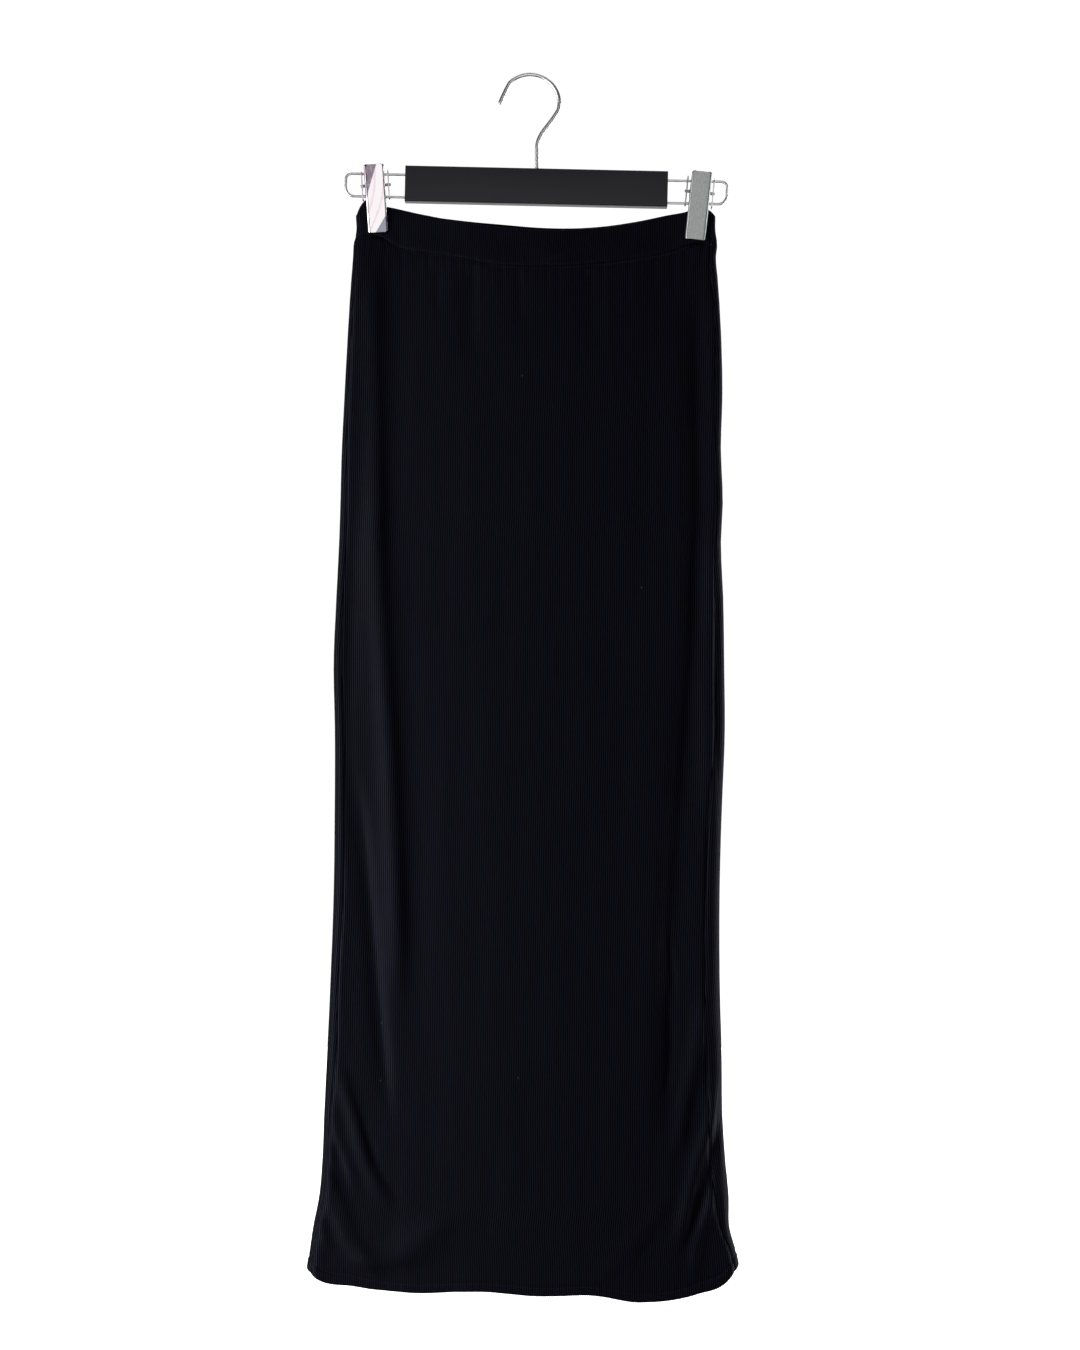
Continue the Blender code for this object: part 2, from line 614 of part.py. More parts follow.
def make_cheek(name, place, wire_tilt, clip):
    """A cheek of the clip: a flat plate with holes for the two wires and for the pin."""
    wire_half = (LOOP_TOP - LOOP_BOTTOM) / 2
    shift = place * math.tan(wire_tilt)
    hole = WIRE_DIAMETER / 2 + RUNNING_GAP
    half_height = wire_half + hole + CHEEK_BORDER + abs(shift)
    curve = bpy.data.curves.new(name, "CURVE")
    curve.dimensions = "2D"
    curve.fill_mode = "BOTH"
    curve.extrude = CHEEK_WALL / 2 * MM
    outline = curve.splines.new("POLY")
    radius = CHEEK_HALF_DEPTH
    top = arc((0, half_height - radius), radius, 0, 180, 9)
    bottom = arc((0, radius - half_height), radius, 180, 360, 9)
    outline.points.add(len(top + bottom) - 1)
    for spot, (x, _, z) in zip(outline.points, top + bottom):
        spot.co = (x * MM, z * MM, 0, 1)
    outline.use_cyclic_u = True
    for height in (wire_half + shift, -wire_half + shift):
        circle_spline(curve, (0, height), hole)
    circle_spline(curve, (0, 0), PIN_RADIUS + RUNNING_GAP)
    cheek = finished(name, curve, "steel", clip)
    cheek.rotation_euler = (math.pi / 2, 0, math.pi / 2)
    cheek.location = (place * MM, 0, 0)
    return cheek


def make_spring(name, clip):
    """The coil spring round the pin, as one sleeve."""
    curve = bpy.data.curves.new(name, "CURVE")
    curve.dimensions = "2D"
    curve.fill_mode = "BOTH"
    curve.extrude = SPRING_LENGTH / 2 * MM
    circle_spline(curve, (0, 0), SPRING_RADIUS)
    circle_spline(curve, (0, 0), PIN_RADIUS + RUNNING_GAP)
    spring = finished(name, curve, "steel", clip)
    spring.rotation_euler = (0, math.pi / 2, 0)


def make_clip(side, hanger):
    """One spring clip on its loop, leaning in towards the middle at its jaws."""
    sign = -1 if side == "left" else 1
    lean = sign * CLIP_LEAN
    place = (CLIP_PLACES[side], 0.0, (LOOP_TOP + LOOP_BOTTOM) / 2)
    clip = empty_frame(f"clip_{side}_frame", place, lean, hanger)
    bore = rod(f"clip_{side}_pin_bore", PIN_RADIUS + RUNNING_GAP, 2 * CHEEK_PLACE, "X", "steel", clip,
               collection="cutters")
    for face in ("front", "back"):
        plate = make_plate(f"clip_{side}_{face}_plate", face, "chrome" if side == "left" else "steel",
                           clip)
        cut(plate, bore)
        make_pad(f"clip_{side}_{face}_pad", face, clip)
    for position, x in (("inner", -sign * CHEEK_PLACE), ("outer", sign * CHEEK_PLACE)):
        make_cheek(f"clip_{side}_{position}_cheek", x, lean, clip)
    rod(f"clip_{side}_pin", PIN_RADIUS, PIN_LENGTH, "X", "steel", clip)
    make_spring(f"clip_{side}_spring", clip)


def shade_round_pieces():
    """Smooth shading that keeps the sharp edges."""
    for thing in bpy.data.collections["skirt_on_hanger"].objects:
        if thing.type == "MESH":
            thing.data.shade_smooth()
            thing.data.set_sharp_from_angle(angle=math.radians(40))


def main():
    """Clear the scene and build the skirt and its hanger."""
    for thing in list(bpy.data.objects):
        bpy.data.objects.remove(thing, do_unlink=True)
    for name in ("skirt_on_hanger", "cutters"):
        bpy.context.scene.collection.children.link(bpy.data.collections.new(name))

    make_panel("front_panel", "front")
    make_panel("back_panel", "back")
    make_band("waistband_front", "front")
    make_band("waistband_back", "back")
    hanger = make_hanger()
    for side in CLIP_PLACES:
        make_clip(side, hanger)
    shade_round_pieces()


main()
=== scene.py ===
# %% [markdown]
# # A black rib-knit maxi skirt on a clip hanger
#
# The real skirt is a tube of fine rib knit: a front and a back panel, sewn along both sides, with
# a doubled waistband and a narrow hem. It hangs flat from two spring clips on a bar hanger. The
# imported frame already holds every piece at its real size. This script works out finer surfaces on
# the same form, adds the small creases and the ribs, and gives every piece its finish.

# %% The frame and its size
import math
from collections import namedtuple

import bmesh
import bpy
import numpy as np
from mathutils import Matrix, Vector


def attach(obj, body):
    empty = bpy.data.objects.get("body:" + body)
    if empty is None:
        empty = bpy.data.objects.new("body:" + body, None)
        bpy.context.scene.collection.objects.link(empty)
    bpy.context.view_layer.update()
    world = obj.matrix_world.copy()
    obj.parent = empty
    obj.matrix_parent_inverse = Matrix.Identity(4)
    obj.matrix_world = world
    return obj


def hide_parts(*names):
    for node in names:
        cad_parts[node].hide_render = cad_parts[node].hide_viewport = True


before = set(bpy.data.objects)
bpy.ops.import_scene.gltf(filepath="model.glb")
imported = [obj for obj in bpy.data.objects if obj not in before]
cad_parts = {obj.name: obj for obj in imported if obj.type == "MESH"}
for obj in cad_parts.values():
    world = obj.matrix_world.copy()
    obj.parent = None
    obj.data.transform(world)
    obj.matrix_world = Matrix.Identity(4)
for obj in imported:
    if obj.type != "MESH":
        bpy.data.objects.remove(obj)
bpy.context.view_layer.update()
MM = 0.001


def add_object(name, data):
    """A new object with its data, in the scene."""
    made = bpy.data.objects.new(name, data)
    bpy.context.scene.collection.objects.link(made)
    return made



# %% [markdown]
# ## Camera
#
# The picture looks straight at the skirt from about 1.8 m away, level, with no tilt. The camera's
# long side covers 1230 mm at the skirt, which gives its focal length by similar triangles.

# %% A level camera
CAMERA_DISTANCE = 1.8
CAMERA_AIM = (0.0091, -0.5452)
VIEW_HEIGHT = 1.230
SENSOR = 36.0

camera_data = bpy.data.cameras.new("camera")
camera_data.sensor_width = SENSOR
camera_data.lens = SENSOR * CAMERA_DISTANCE / VIEW_HEIGHT
camera = add_object("camera", camera_data)
camera.location = (CAMERA_AIM[0], -CAMERA_DISTANCE, CAMERA_AIM[1])
camera.rotation_euler = (math.pi / 2, 0.0, 0.0)
bpy.context.scene.camera = camera
print("camera lens:", round(camera_data.lens, 1), "mm")

# %% [markdown]
# ## Surfaces as arrays
#
# Every new piece is a grid of points worked out with numpy. A few helpers turn such grids into
# meshes: the faces of a grid and its closed ends, circles about a path, closed shapes with their
# faces turned outwards, a mesh object with its map in metres, and a tube carried on a path.

# %% Faces of a grid
def grid_faces(rows, columns, closed=False, first=0):
    """Quads of a grid: each joins two neighbours of one row to the two of the next."""
    index = np.arange(rows * columns).reshape(rows, columns) + first
    if closed:
        index = np.concatenate([index, index[:, :1]], axis=1)
    quads = np.stack([index[:-1, :-1], index[1:, :-1], index[1:, 1:], index[:-1, 1:]], axis=-1)
    return quads.reshape(-1, 4)


def capped_faces(rings, sides):
    """Quads round a tube of rings, and one face across each end."""
    last = rings * sides - 1
    around = grid_faces(rings, sides, closed=True).tolist()
    return around + [list(range(sides)), list(range(last, last - sides, -1))]


print("faces of a closed tube of 5 rings with 6 sides:", len(capped_faces(5, 6)))


# %% Directions and rings
def unit(vectors):
    """Vectors divided by their lengths."""
    return vectors / np.linalg.norm(vectors, axis=-1, keepdims=True)


def rings_about(centres, side, other, radius, sides):
    """Circles: each centre plus the radius times a cosine of one direction and a sine of the other."""
    turn = np.linspace(0, 2 * math.pi, sides, endpoint=False)[:, None]
    around = np.cos(turn) * side[..., None, :] + np.sin(turn) * other[..., None, :]
    return centres[..., None, :] + np.asarray(radius)[..., None, None] * around


print("a unit vector along (3, 0, 4):", unit(np.array([3.0, 0.0, 4.0])).tolist())


# %% Mesh objects
def point_outwards(mesh):
    """Merges doubles and turns every face outwards."""
    work = bmesh.new()
    work.from_mesh(mesh)
    bmesh.ops.remove_doubles(work, verts=work.verts, dist=1e-6)
    bmesh.ops.recalc_face_normals(work, faces=work.faces)
    work.to_mesh(mesh)
    work.free()


def mesh_object(name, points, faces, material, uv=None, merge=False, sharp=None, turned=False):
    """A mesh in metres from points in millimetres, shaded smooth, riding on the part.

    merge joins doubles and drops faces with no size, sharp is the angle of edges that stay sharp,
    and turned has every face pointed outwards.
    """
    mesh = bpy.data.meshes.new(name)
    mesh.from_pydata((np.asarray(points).reshape(-1, 3) * MM).tolist(), [], faces)
    if uv is not None:
        corner = np.empty(len(mesh.loops), dtype=np.int32)
        mesh.loops.foreach_get("vertex_index", corner)
        layer = mesh.uv_layers.new(name="cloth")
        layer.data.foreach_set("uv", (uv.reshape(-1, 2)[corner] * MM).ravel())
    if merge:
        work = bmesh.new()
        work.from_mesh(mesh)
        bmesh.ops.remove_doubles(work, verts=work.verts, dist=2e-6)
        bmesh.ops.dissolve_degenerate(work, edges=work.edges, dist=1e-6)
        work.to_mesh(mesh)
        work.free()
    mesh.validate()
    mesh.shade_smooth()
    if sharp is not None:
        mesh.set_sharp_from_angle(angle=math.radians(sharp))
    if turned:
        point_outwards(mesh)
    mesh.materials.append(material)
    piece = add_object(name, mesh)
    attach(piece, "root")
    print(f"{name}: {sum(len(f.vertices) - 2 for f in mesh.polygons)} triangles")
    return piece


print("pieces so far:", len(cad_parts), "solids from the frame")


# %% A tube on a path
def tube_mesh(path, radius, sides=16, cap_rings=3):
    """A circle carried along a path: rings square to it, with domed and closed ends.

    Each ring's point is the path point plus the radius times a cosine of the side direction and
    a sine of the Y direction's part that is square to the path.
    """
    path = np.asarray(path, dtype=float)
    radius = np.broadcast_to(radius, len(path)).astype(float)
    along = unit(np.gradient(path, axis=0))
    depth = unit(np.array([0.0, 1.0, 0.0]) - along * along[:, 1:2])
    dome = np.linspace(math.pi / 2, 0, cap_rings + 1)[:-1]
    reach, shrink = np.sin(dome)[:, None], np.cos(dome)
    head = path[0] - along[0] * radius[0] * 0.5 * reach
    tail = (path[-1] + along[-1] * radius[-1] * 0.5 * reach)[::-1]
    centres = np.concatenate([head, path, tail])
    sizes = np.concatenate([radius[0] * shrink, radius, radius[-1] * shrink[::-1]])
    ends = [0] * cap_rings
    order = np.concatenate([ends, np.arange(len(path)), [len(path) - 1] * cap_rings]).astype(int)
    rings = rings_about(centres, np.cross(along, depth)[order], depth[order], sizes, sides)
    return rings, grid_faces(len(rings), sides, closed=True).tolist()


print("rings of a straight two-point tube:", tube_mesh([(0, 0, 0), (0, 0, 9)], 2.0)[0].shape)

# %% [markdown]
# ## The skirt's form
#
# The skirt is one flattened tube. The outline table gives its two edges at each height, the depth
# table how far its front and back stand apart, and the edge tables where the waistband, its seam
# and the hem run. These are the same driving sizes as the solids', in millimetres.

# %% The two edges and the depth
OutlineRow = namedtuple("OutlineRow", "height left right left_seam right_seam")
OUTLINE = [OutlineRow(*row) for row in [
    (-112, -157.8, 167.4, 1.5, 5),
    (-126, -158.8, 168.4, 1.5, 5),
    (-142, -158.4, 168.6, 1.6, 5),
    (-152, -160.4, 170.2, 1.8, 5.2),
    (-164, -161, 169, 2.2, 5.5),
    (-184, -162.6, 170.8, 3, 6.4),
    (-215, -164.6, 172.9, 3.4, 5.2),
    (-290, -168.6, 175.2, 3, 7.2),
    (-340, -171, 173.8, 4.4, 5.4),
    (-390, -172.4, 175.5, 5.8, 6),
    (-422, -173.5, 173.8, 6.8, 6.8),
    (-477, -176.3, 175.7, 6.5, 8),
    (-532, -178.6, 176.4, 7.3, 8.4),
    (-600, -177.5, 177, 9.3, 8.8),
    (-660, -177.7, 174.8, 10, 12.3),
    (-740, -178.6, 172.7, 9.4, 13.4),
    (-830, -182, 172.9, 7.5, 14.2),
    (-895, -185, 174.6, 9, 14.8),
    (-945, -187.3, 175, 5.5, 13),
    (-985, -188.8, 177.4, 3.4, 14),
    (-1020, -191.9, 180.6, 3.2, 12.8),
    (-1050, -197.8, 181.7, 3.4, 7.6),
    (-1068, -200.4, 186.8, 3.6, 5.4),
    (-1084, -202.8, 190.3, 3.8, 4.6),
]]
DepthRow = namedtuple("DepthRow", "height roll flat front_belly back_belly reach")
DEPTH = [DepthRow(*row) for row in [
    (-112, 3, 2.9, 8, 6.5, 0.74),
    (-146, 3, 2.9, 9, 7.5, 0.75),
    (-166, 4.2, 3.9, 9.3, 7.6, 0.78),
    (-210, 6.5, 5.4, 9.6, 7.8, 0.82),
    (-320, 9, 7, 10, 8, 0.87),
    (-560, 11, 8.5, 11.5, 9.5, 0.92),
    (-850, 12, 9.5, 13, 11, 0.94),
    (-1110, 12, 10.5, 15, 13, 0.96),
]]
print("outline from", OUTLINE[0].height, "down to", OUTLINE[-1].height, "mm")

# %% Where the waistband, its seam and the hem run
EdgeRow = namedtuple("EdgeRow", "across front back")
BAND_TOP = [EdgeRow(*row) for row in [
    (-1, -126, -126),
    (-0.965, -115.8, -116.4),
    (-0.820, -119.3, -119.5),
    (-0.640, -126, -125.5),
    (-0.420, -133.6, -130),
    (-0.190, -139.6, -133),
    (0.030, -142, -135.8),
    (0.360, -139.6, -135.5),
    (0.580, -133.7, -131),
    (0.820, -124.5, -123.8),
    (0.965, -121.2, -121.2),
    (1, -127, -127),
]]
BAND_SEAM = [EdgeRow(*row) for row in [
    (-1, -146.5, -146.5),
    (-0.88, -145.5, -145.5),
    (-0.74, -156.5, -152),
    (-0.50, -163.8, -160),
    (-0.20, -173.8, -166),
    (0.12, -175.2, -168),
    (0.45, -170, -164.5),
    (0.74, -160.5, -156),
    (0.90, -151.5, -151.5),
    (1, -152.5, -152.5),
]]
HEM_EDGE = [EdgeRow(*row) for row in [
    (-1, -1085.5, -1085.5),
    (-0.95, -1092.5, -1090.5),
    (-0.78, -1098, -1095.5),
    (-0.52, -1102, -1098),
    (-0.20, -1099.6, -1102.5),
    (0.10, -1103.6, -1101),
    (0.30, -1103.2, -1103),
    (0.55, -1111, -1105.5),
    (0.80, -1105.5, -1102),
    (0.93, -1096.5, -1094.5),
    (1, -1082, -1082),
]]
print("lowest point of the hem:", min(row.front for row in HEM_EDGE), "mm")

# %% [markdown]
# ## Folds and creases
#
# A fold is a soft ridge or trough that runs down the cloth past a few places. Its rise falls off
# as a bell to its left and right, and fades at both ends. The first table has the large folds of
# the solids; seven on the front are crisper than there, or run a few millimetres aside. The second
# adds the small creases that the solids leave out: where the cloth buckles near the hem, along the
# side seams, and under the waistband.

# %% Large folds
Fold = namedtuple("Fold", "face top bottom across rise left_width right_width")
FOLDS = [Fold(*row) for row in [
    ("front", -150, -440, (-142, -140, -135), 3.0, 12, 7),
    ("front", -330, -870, (-143, -138, -131, -124, -120, -118), 4.4, 12, 8),
    ("front", -620, -960, (-161, -147, -137, -126), -3.0, 8, 6),
    ("front", -892, -1032, (-176, -160, -147, -121), 3.2, 9, 6),
    ("front", -985, -1092, (-188, -175, -160, -128), 4.0, 9, 6),
    ("front", -1028, -1084, (-72, -90, -110, -152), 3.0, 13, 13),
    ("front", -166, -260, (-52, -53, -54), -1.6, 10, 10),
    ("front", -168, -245, (52, 54, 56), -1.4, 11, 11),
    ("front", -165, -560, (153, 153, 153, 152), -3.0, 10, 11),
    ("front", -470, -1000, (152, 143, 131, 126, 127), -3.2, 10, 20),
    ("front", -180, -1000, (134, 134, 134, 126, 112, 108, 110), 1.8, 32, 9),
    ("front", -400, -700, (164, 163, 161, 163, 166), 2.4, 10, 8),
    ("front", -820, -985, (160, 153, 141, 132), 2.6, 8, 6),
    ("front", -905, -1074, (167, 165, 151, 141, 131), 3.6, 7, 5),
    ("front", -990, -1092, (166, 164, 151, 149), 2.6, 6, 5),
    ("back", -160, -700, (-128, -124, -116, -106), -2.6, 15, 18),
    ("back", -380, -1010, (-158, -150, -138, -126, -112), 4.2, 10, 18),
    ("back", -900, -1088, (-178, -165, -150, -128), 3.8, 9, 11),
    ("back", -160, -820, (140, 136, 126, 112), -2.6, 17, 15),
    ("back", -420, -1020, (158, 152, 144, 128, 118), 4.0, 17, 10),
    ("back", -930, -1080, (170, 158, 146, 132), 3.6, 12, 9),
    ("back", -178, -420, (8, 4, -2), 1.6, 24, 26),
]]
print("large folds:", len(FOLDS))

# %% Small creases
CREASES = [Fold(*row) for row in [
    ("front", -925, -1016, (-180, -176, -166, -155), 1.8, 4, 7),
    ("front", -968, -990, (-184, -178), 1.2, 4, 4),
    ("front", -1000, -1090, (-184, -172, -157, -124), -1.4, 3.5, 3.5),
    ("front", -1032, -1066, (-194, -188, -181), 1.6, 4, 5),
    ("front", -905, -1035, (-167, -152, -138, -112), -1.2, 4, 4),
    ("front", -380, -740, (-163, -165, -165, -161), -1.9, 5, 9),
    ("front", -410, -660, (169.5, 170, 169, 171), -1.6, 2.5, 3),
    ("front", -820, -935, (122, 127, 127, 118), -1.0, 4, 4),
    ("front", -925, -1074, (171, 169, 163, 152, 141), -2.0, 4, 5),
    ("front", -150, -500, (-122, -121, -118), -1.2, 9, 26),
    ("front", -430, -900, (-112, -106, -104, -102), -1.2, 11, 24),
    ("front", -998, -1058, (166, 170, 176), -1.6, 3.5, 3.5),
    ("front", -766, -844, (124, 128, 132), -1.4, 4.5, 3.5),
    ("front", -1015, -1096, (120, 108, 84, 58), 1.2, 9, 7),
    ("front", -176, -222, (-84, -83), -0.8, 5, 6),
    ("front", -178, -230, (-9, -9), -0.8, 6, 5),
    ("front", -176, -214, (86, 88), -0.7, 6, 6),
    ("front", -166, -206, (112, 111), -0.7, 5, 5),
    ("front", -141, -172, (58, 36, 12), 1.0, 4, 3),
    ("front", -137, -168, (-118, -121), -0.6, 4, 4),
    ("back", -930, -1020, (-182, -176, -164, -152), 1.8, 5, 7),
    ("back", -1010, -1086, (-187, -174, -158, -130), -1.3, 4, 4),
    ("back", -1030, -1088, (-60, -84, -112, -150), 2.2, 11, 11),
    ("back", -430, -700, (168, 166, 167, 170), 1.6, 6, 5),
    ("back", -860, -960, (128, 134, 132, 122), 2.0, 7, 6),
    ("back", -990, -1084, (160, 150, 134, 116), 1.8, 6, 5),
    ("back", -174, -228, (-66, -66), -0.9, 6, 6),
    ("back", -176, -236, (70, 71), -0.9, 6, 6),
]]
print("small creases:", len(CREASES))


# %% Reading the tables
def column(table, name):
    """One named column of a table, as an array."""
    return np.array([getattr(row, name) for row in table], dtype=float)


def smooth_curve(stations, values, at):
    """The cubic curve through the values at rising stations, level beyond the first and last."""
    slopes = np.gradient(values, stations)
    left = np.clip(np.searchsorted(stations, at) - 1, 0, len(stations) - 2)
    span = stations[left + 1] - stations[left]
    t = np.clip((at - stations[left]) / span, 0.0, 1.0)
    start = (1 + 2 * t) * (1 - t) ** 2 * values[left] + t * (1 - t) ** 2 * span * slopes[left]
    end = t ** 2 * (3 - 2 * t) * values[left + 1] - t ** 2 * (1 - t) * span * slopes[left + 1]
    return start + end


def at_height(table, name, height):
    """A column of a table that is ordered from the top down, read smoothly at a height."""
    return smooth_curve(column(table, "height")[::-1], column(table, name)[::-1], height)


def edge_height(table, angle):
    """The height of an edge or seam at a ring angle."""
    across = np.sin(angle)
    stations = column(table, "across")
    front = smooth_curve(stations, column(table, "front"), across)
    back = smooth_curve(stations, column(table, "back"), across)
    return np.where(np.cos(angle) >= 0, front, back)


print("the outline at -300 mm:", [round(float(at_height(OUTLINE, side, -300.0)), 1)
                                  for side in ("left", "right")])

# %% The rise of one fold
FOLD_TAPER = 0.22


def bell(distance, width):
    """1 at no distance, falling off smoothly to both sides."""
    return np.exp(-(distance / width) ** 2)


def ease(share):
    """A smooth step from 0 to 1."""
    share = np.clip(share, 0.0, 1.0)
    return share * share * (3 - 2 * share)


def fold_rise(fold, x, height):
    """A bell across the fold's path, as wide as its two sides say, that fades at both ends."""
    share = (fold.top - height) / (fold.top - fold.bottom)
    stations = np.linspace(0.0, 1.0, len(fold.across))
    across = np.array(fold.across, dtype=float)
    path = smooth_curve(stations, across, share)
    lean = smooth_curve(stations, np.gradient(across, stations), share) / (fold.top - fold.bottom)
    distance = (x - path) / np.sqrt(1 + lean ** 2)
    width = np.where(distance < 0, fold.left_width, fold.right_width)
    fade = ease(share / FOLD_TAPER) * ease((1 - share) / FOLD_TAPER)
    return fold.rise * fade * bell(distance, width)


highest = max(FOLDS, key=lambda fold: fold.rise)
print("the highest fold rises", highest.rise, "mm, between", highest.top, "and", highest.bottom)

# %% The tube's surface
PANEL_WALL = 1.4
LAYER_ROOM = 0.25


def tube_point(angle, height):
    """The tube's surface: x follows the sine of the ring angle between the two edges, and y is
    the flat half depth plus the belly plus the folds, rounded off to 0 at the edges."""
    left = at_height(OUTLINE, "left", height)
    right = at_height(OUTLINE, "right", height)
    half_width = (right - left) / 2
    across = np.sin(angle)
    x = (left + right) / 2 + half_width * across

    roll = at_height(DEPTH, "roll", height)
    from_edge = half_width * (1 - np.abs(across))
    rounding = np.sqrt(1 - (1 - np.minimum(from_edge / roll, 1.0)) ** 2)
    in_reach = 1 - np.minimum(np.abs(across) / at_height(DEPTH, "reach", height), 1.0) ** 2

    facing_front = np.cos(angle) >= 0
    belly = np.where(facing_front, at_height(DEPTH, "front_belly", height),
                     at_height(DEPTH, "back_belly", height)) * in_reach ** 1.5
    lift = np.zeros_like(x)
    for fold in FOLDS + CREASES:
        on_face = facing_front == (fold.face == "front")
        lift += np.where(on_face, fold_rise(fold, x, height), 0.0)
    depth = np.maximum(at_height(DEPTH, "flat", height) + belly + lift, PANEL_WALL + LAYER_ROOM)
    y = np.where(facing_front, -1.0, 1.0) * depth * rounding
    return np.stack([x, y, height + 0.0 * x], axis=-1)


def tube_normal(angle, height, step=0.004):
    """The tube's outward direction, across its two tangents."""
    around = tube_point(angle + step, height) - tube_point(angle - step, height)
    rise = 125 * step
    upward = tube_point(angle, height + rise) - tube_point(angle, height - rise)
    return unit(np.cross(around, upward))


middle_front = tube_point(np.array(0.0), np.array(-600.0))
print("the middle of the front at -600 mm:", np.round(middle_front, 1).tolist())


# %% Where the side seams run
def seam_angle(side, height):
    """The ring angle of a side seam, which lies on the front just inside the tube's edge."""
    half_width = (at_height(OUTLINE, "right", height) - at_height(OUTLINE, "left", height)) / 2
    angle = np.arcsin(1 - at_height(OUTLINE, side + "_seam", height) / half_width)
    return angle if side == "right" else -angle


print("the right seam's ring angle near the hem:",
      round(math.degrees(seam_angle("right", np.array(-1080.0))), 1), "degrees")

# %% [markdown]
# ## Ribs run with the cloth
#
# Knit ribs keep their spacing along the cloth, not along the picture: they crowd together where
# the cloth turns away. So the columns of each panel are placed by arc length from its centre
# line, four to a rib. The length of every section is added up once on a fine grid, and columns
# that would pass a side seam stop there, as the seam cuts the ribs on the real skirt.

# %% Arc length around the skirt
SEAM_GAP = 0.3
TURNS = np.linspace(-2.1, 2.1, 2101)
LEVEL_STEP = 5.0
LEVELS = np.arange(-105.0, -1116.0, -LEVEL_STEP)
ARC_STEP = 0.5
ARCS = np.arange(-240.0, 240.5, ARC_STEP)
CENTRES = {"front": 0.0, "back": math.pi}


def section_lengths(centre):
    """The running length along each level's section, 0 at the centre line."""
    points = tube_point(centre + TURNS[None, :], LEVELS[:, None])
    steps = np.linalg.norm(np.diff(points[..., :2], axis=1), axis=-1)
    length = np.concatenate([np.zeros((len(LEVELS), 1)), np.cumsum(steps, axis=1)], axis=1)
    return length - length[:, len(TURNS) // 2, None]


def seam_turns(face, height):
    """The turns from a face's centre line to its two seams."""
    left, right = seam_angle("left", height), seam_angle("right", height)
    if face == "front":
        return left, right
    return right - math.pi, left + math.pi


def face_tables(face):
    """For one face: the turn at each level and arc length, and the arc lengths of its seams."""
    lengths = section_lengths(CENTRES[face])
    turns = np.stack([np.interp(ARCS, row, TURNS) for row in lengths])
    start, end = seam_turns(face, LEVELS)
    starts = np.array([np.interp(t, TURNS, row) for t, row in zip(start, lengths)])
    ends = np.array([np.interp(t, TURNS, row) for t, row in zip(end, lengths)])
    return turns, starts + SEAM_GAP / 2, ends - SEAM_GAP / 2


TABLES = {face: face_tables(face) for face in CENTRES}


def turn_at(face, arc, height):
    """The turn from the centre line at an arc length and height, read between four neighbours."""
    table = TABLES[face][0]
    across = np.clip((arc - ARCS[0]) / ARC_STEP, 0, len(ARCS) - 1.001)
    down = np.clip((LEVELS[0] - height) / LEVEL_STEP, 0, len(LEVELS) - 1.001)
    i, j = down.astype(int), across.astype(int)
    s, t = down - i, across - j
    upper = table[i, j] * (1 - t) + table[i, j + 1] * t
    lower = table[i + 1, j] * (1 - t) + table[i + 1, j + 1] * t
    return upper * (1 - s) + lower * s


def seam_arcs(face, height):
    """The arc lengths of a face's two seams at a height."""
    _, starts, ends = TABLES[face]
    return (np.interp(-height, -LEVELS, starts), np.interp(-height, -LEVELS, ends))


for face in CENTRES:
    low, high = TABLES[face][1][-8], TABLES[face][2][-8]
    print(face, "width round the cloth near the hem:", round(high - low, 1), "mm")

# %% [markdown]
# ## Relief on the cloth
#
# On top of the folds lie the ribs, the dip along each seam, small puckers where the panels are
# gathered into the waistband, the puffed hem with the groove and ripples of its stitching, a little
# slack in the waistband, and faint upright waves, because a light knit never hangs quite even. Each
# is a height in millimetres along the surface's own direction.

# %% Ribs, waves, puckers and seam dips
RIB_PITCH = 2.0
RIB_RISE = 0.30
RIB_POWER = 0.7
SEAM_DIP = 0.8
SEAM_DIP_WIDTH = 1.9
WAVES_FROM = -170.0
WAVES_GROW = 120.0
Wave = namedtuple("Wave", "rise length lean phase")
WAVES = [Wave(0.14, 47.0, 610.0, 0.3), Wave(0.08, 29.0, -420.0, 1.9), Wave(0.03, 17.0, 330.0, 4.1)]
Pucker = namedtuple("Pucker", "rise length phase")
PUCKERS = [Pucker(0.20, 13.0, 0.4), Pucker(0.14, 8.3, 2.2), Pucker(0.07, 5.7, 5.0)]


def ribs(arc):
    """Rounded ribs with narrow grooves: the cosine's size over one pitch, to a low power."""
    return RIB_RISE * np.abs(np.cos(math.pi * arc / RIB_PITCH)) ** RIB_POWER


def upright_waves(arc, height):
    """A few slow sines around the cloth, each leaning a little over the length."""
    total = 0.0
    for wave in WAVES:
        turns = arc / wave.length + height / wave.lean
        total = total + wave.rise * np.sin(2 * math.pi * turns + wave.phase)
    return total * ease((WAVES_FROM - height) / WAVES_GROW)


def puckers(arc, from_seam, reach):
    """Short ripples beside a sewn edge that die away from it."""
    total = 0.0
    for pucker in PUCKERS:
        total = total + pucker.rise * np.sin(2 * math.pi * arc / pucker.length + pucker.phase)
    return total * np.exp(-np.maximum(from_seam, 0.0) / reach)


def seam_dips(arc, start, end):
    """A narrow dip along both side seams."""
    return -SEAM_DIP * (bell(arc - start, SEAM_DIP_WIDTH) + bell(end - arc, SEAM_DIP_WIDTH))


print("rib relief over one pitch:", np.round(ribs(np.linspace(0, RIB_PITCH, 5)), 2).tolist(), "mm")

# %% All the relief of a panel
WAIST_DIP = 0.4
PUCKER_REACH = 20.0
HEM_LINE = 7.0
HEM_LINE_AT_SIDES = 11.5
HEM_LINE_RISES_FROM = 0.62
HEM_PUFF = 0.45
HEM_PUFF_EASE = 2.0
HEM_GROOVE = 0.45
HEM_GROOVE_WIDTH = 1.3
HEM_PUCKER = 0.09
HEM_PUCKER_LENGTH = 6.1
HEM_PUCKER_DRIFT = 31.0
HEM_PUCKER_REACH = 7.0


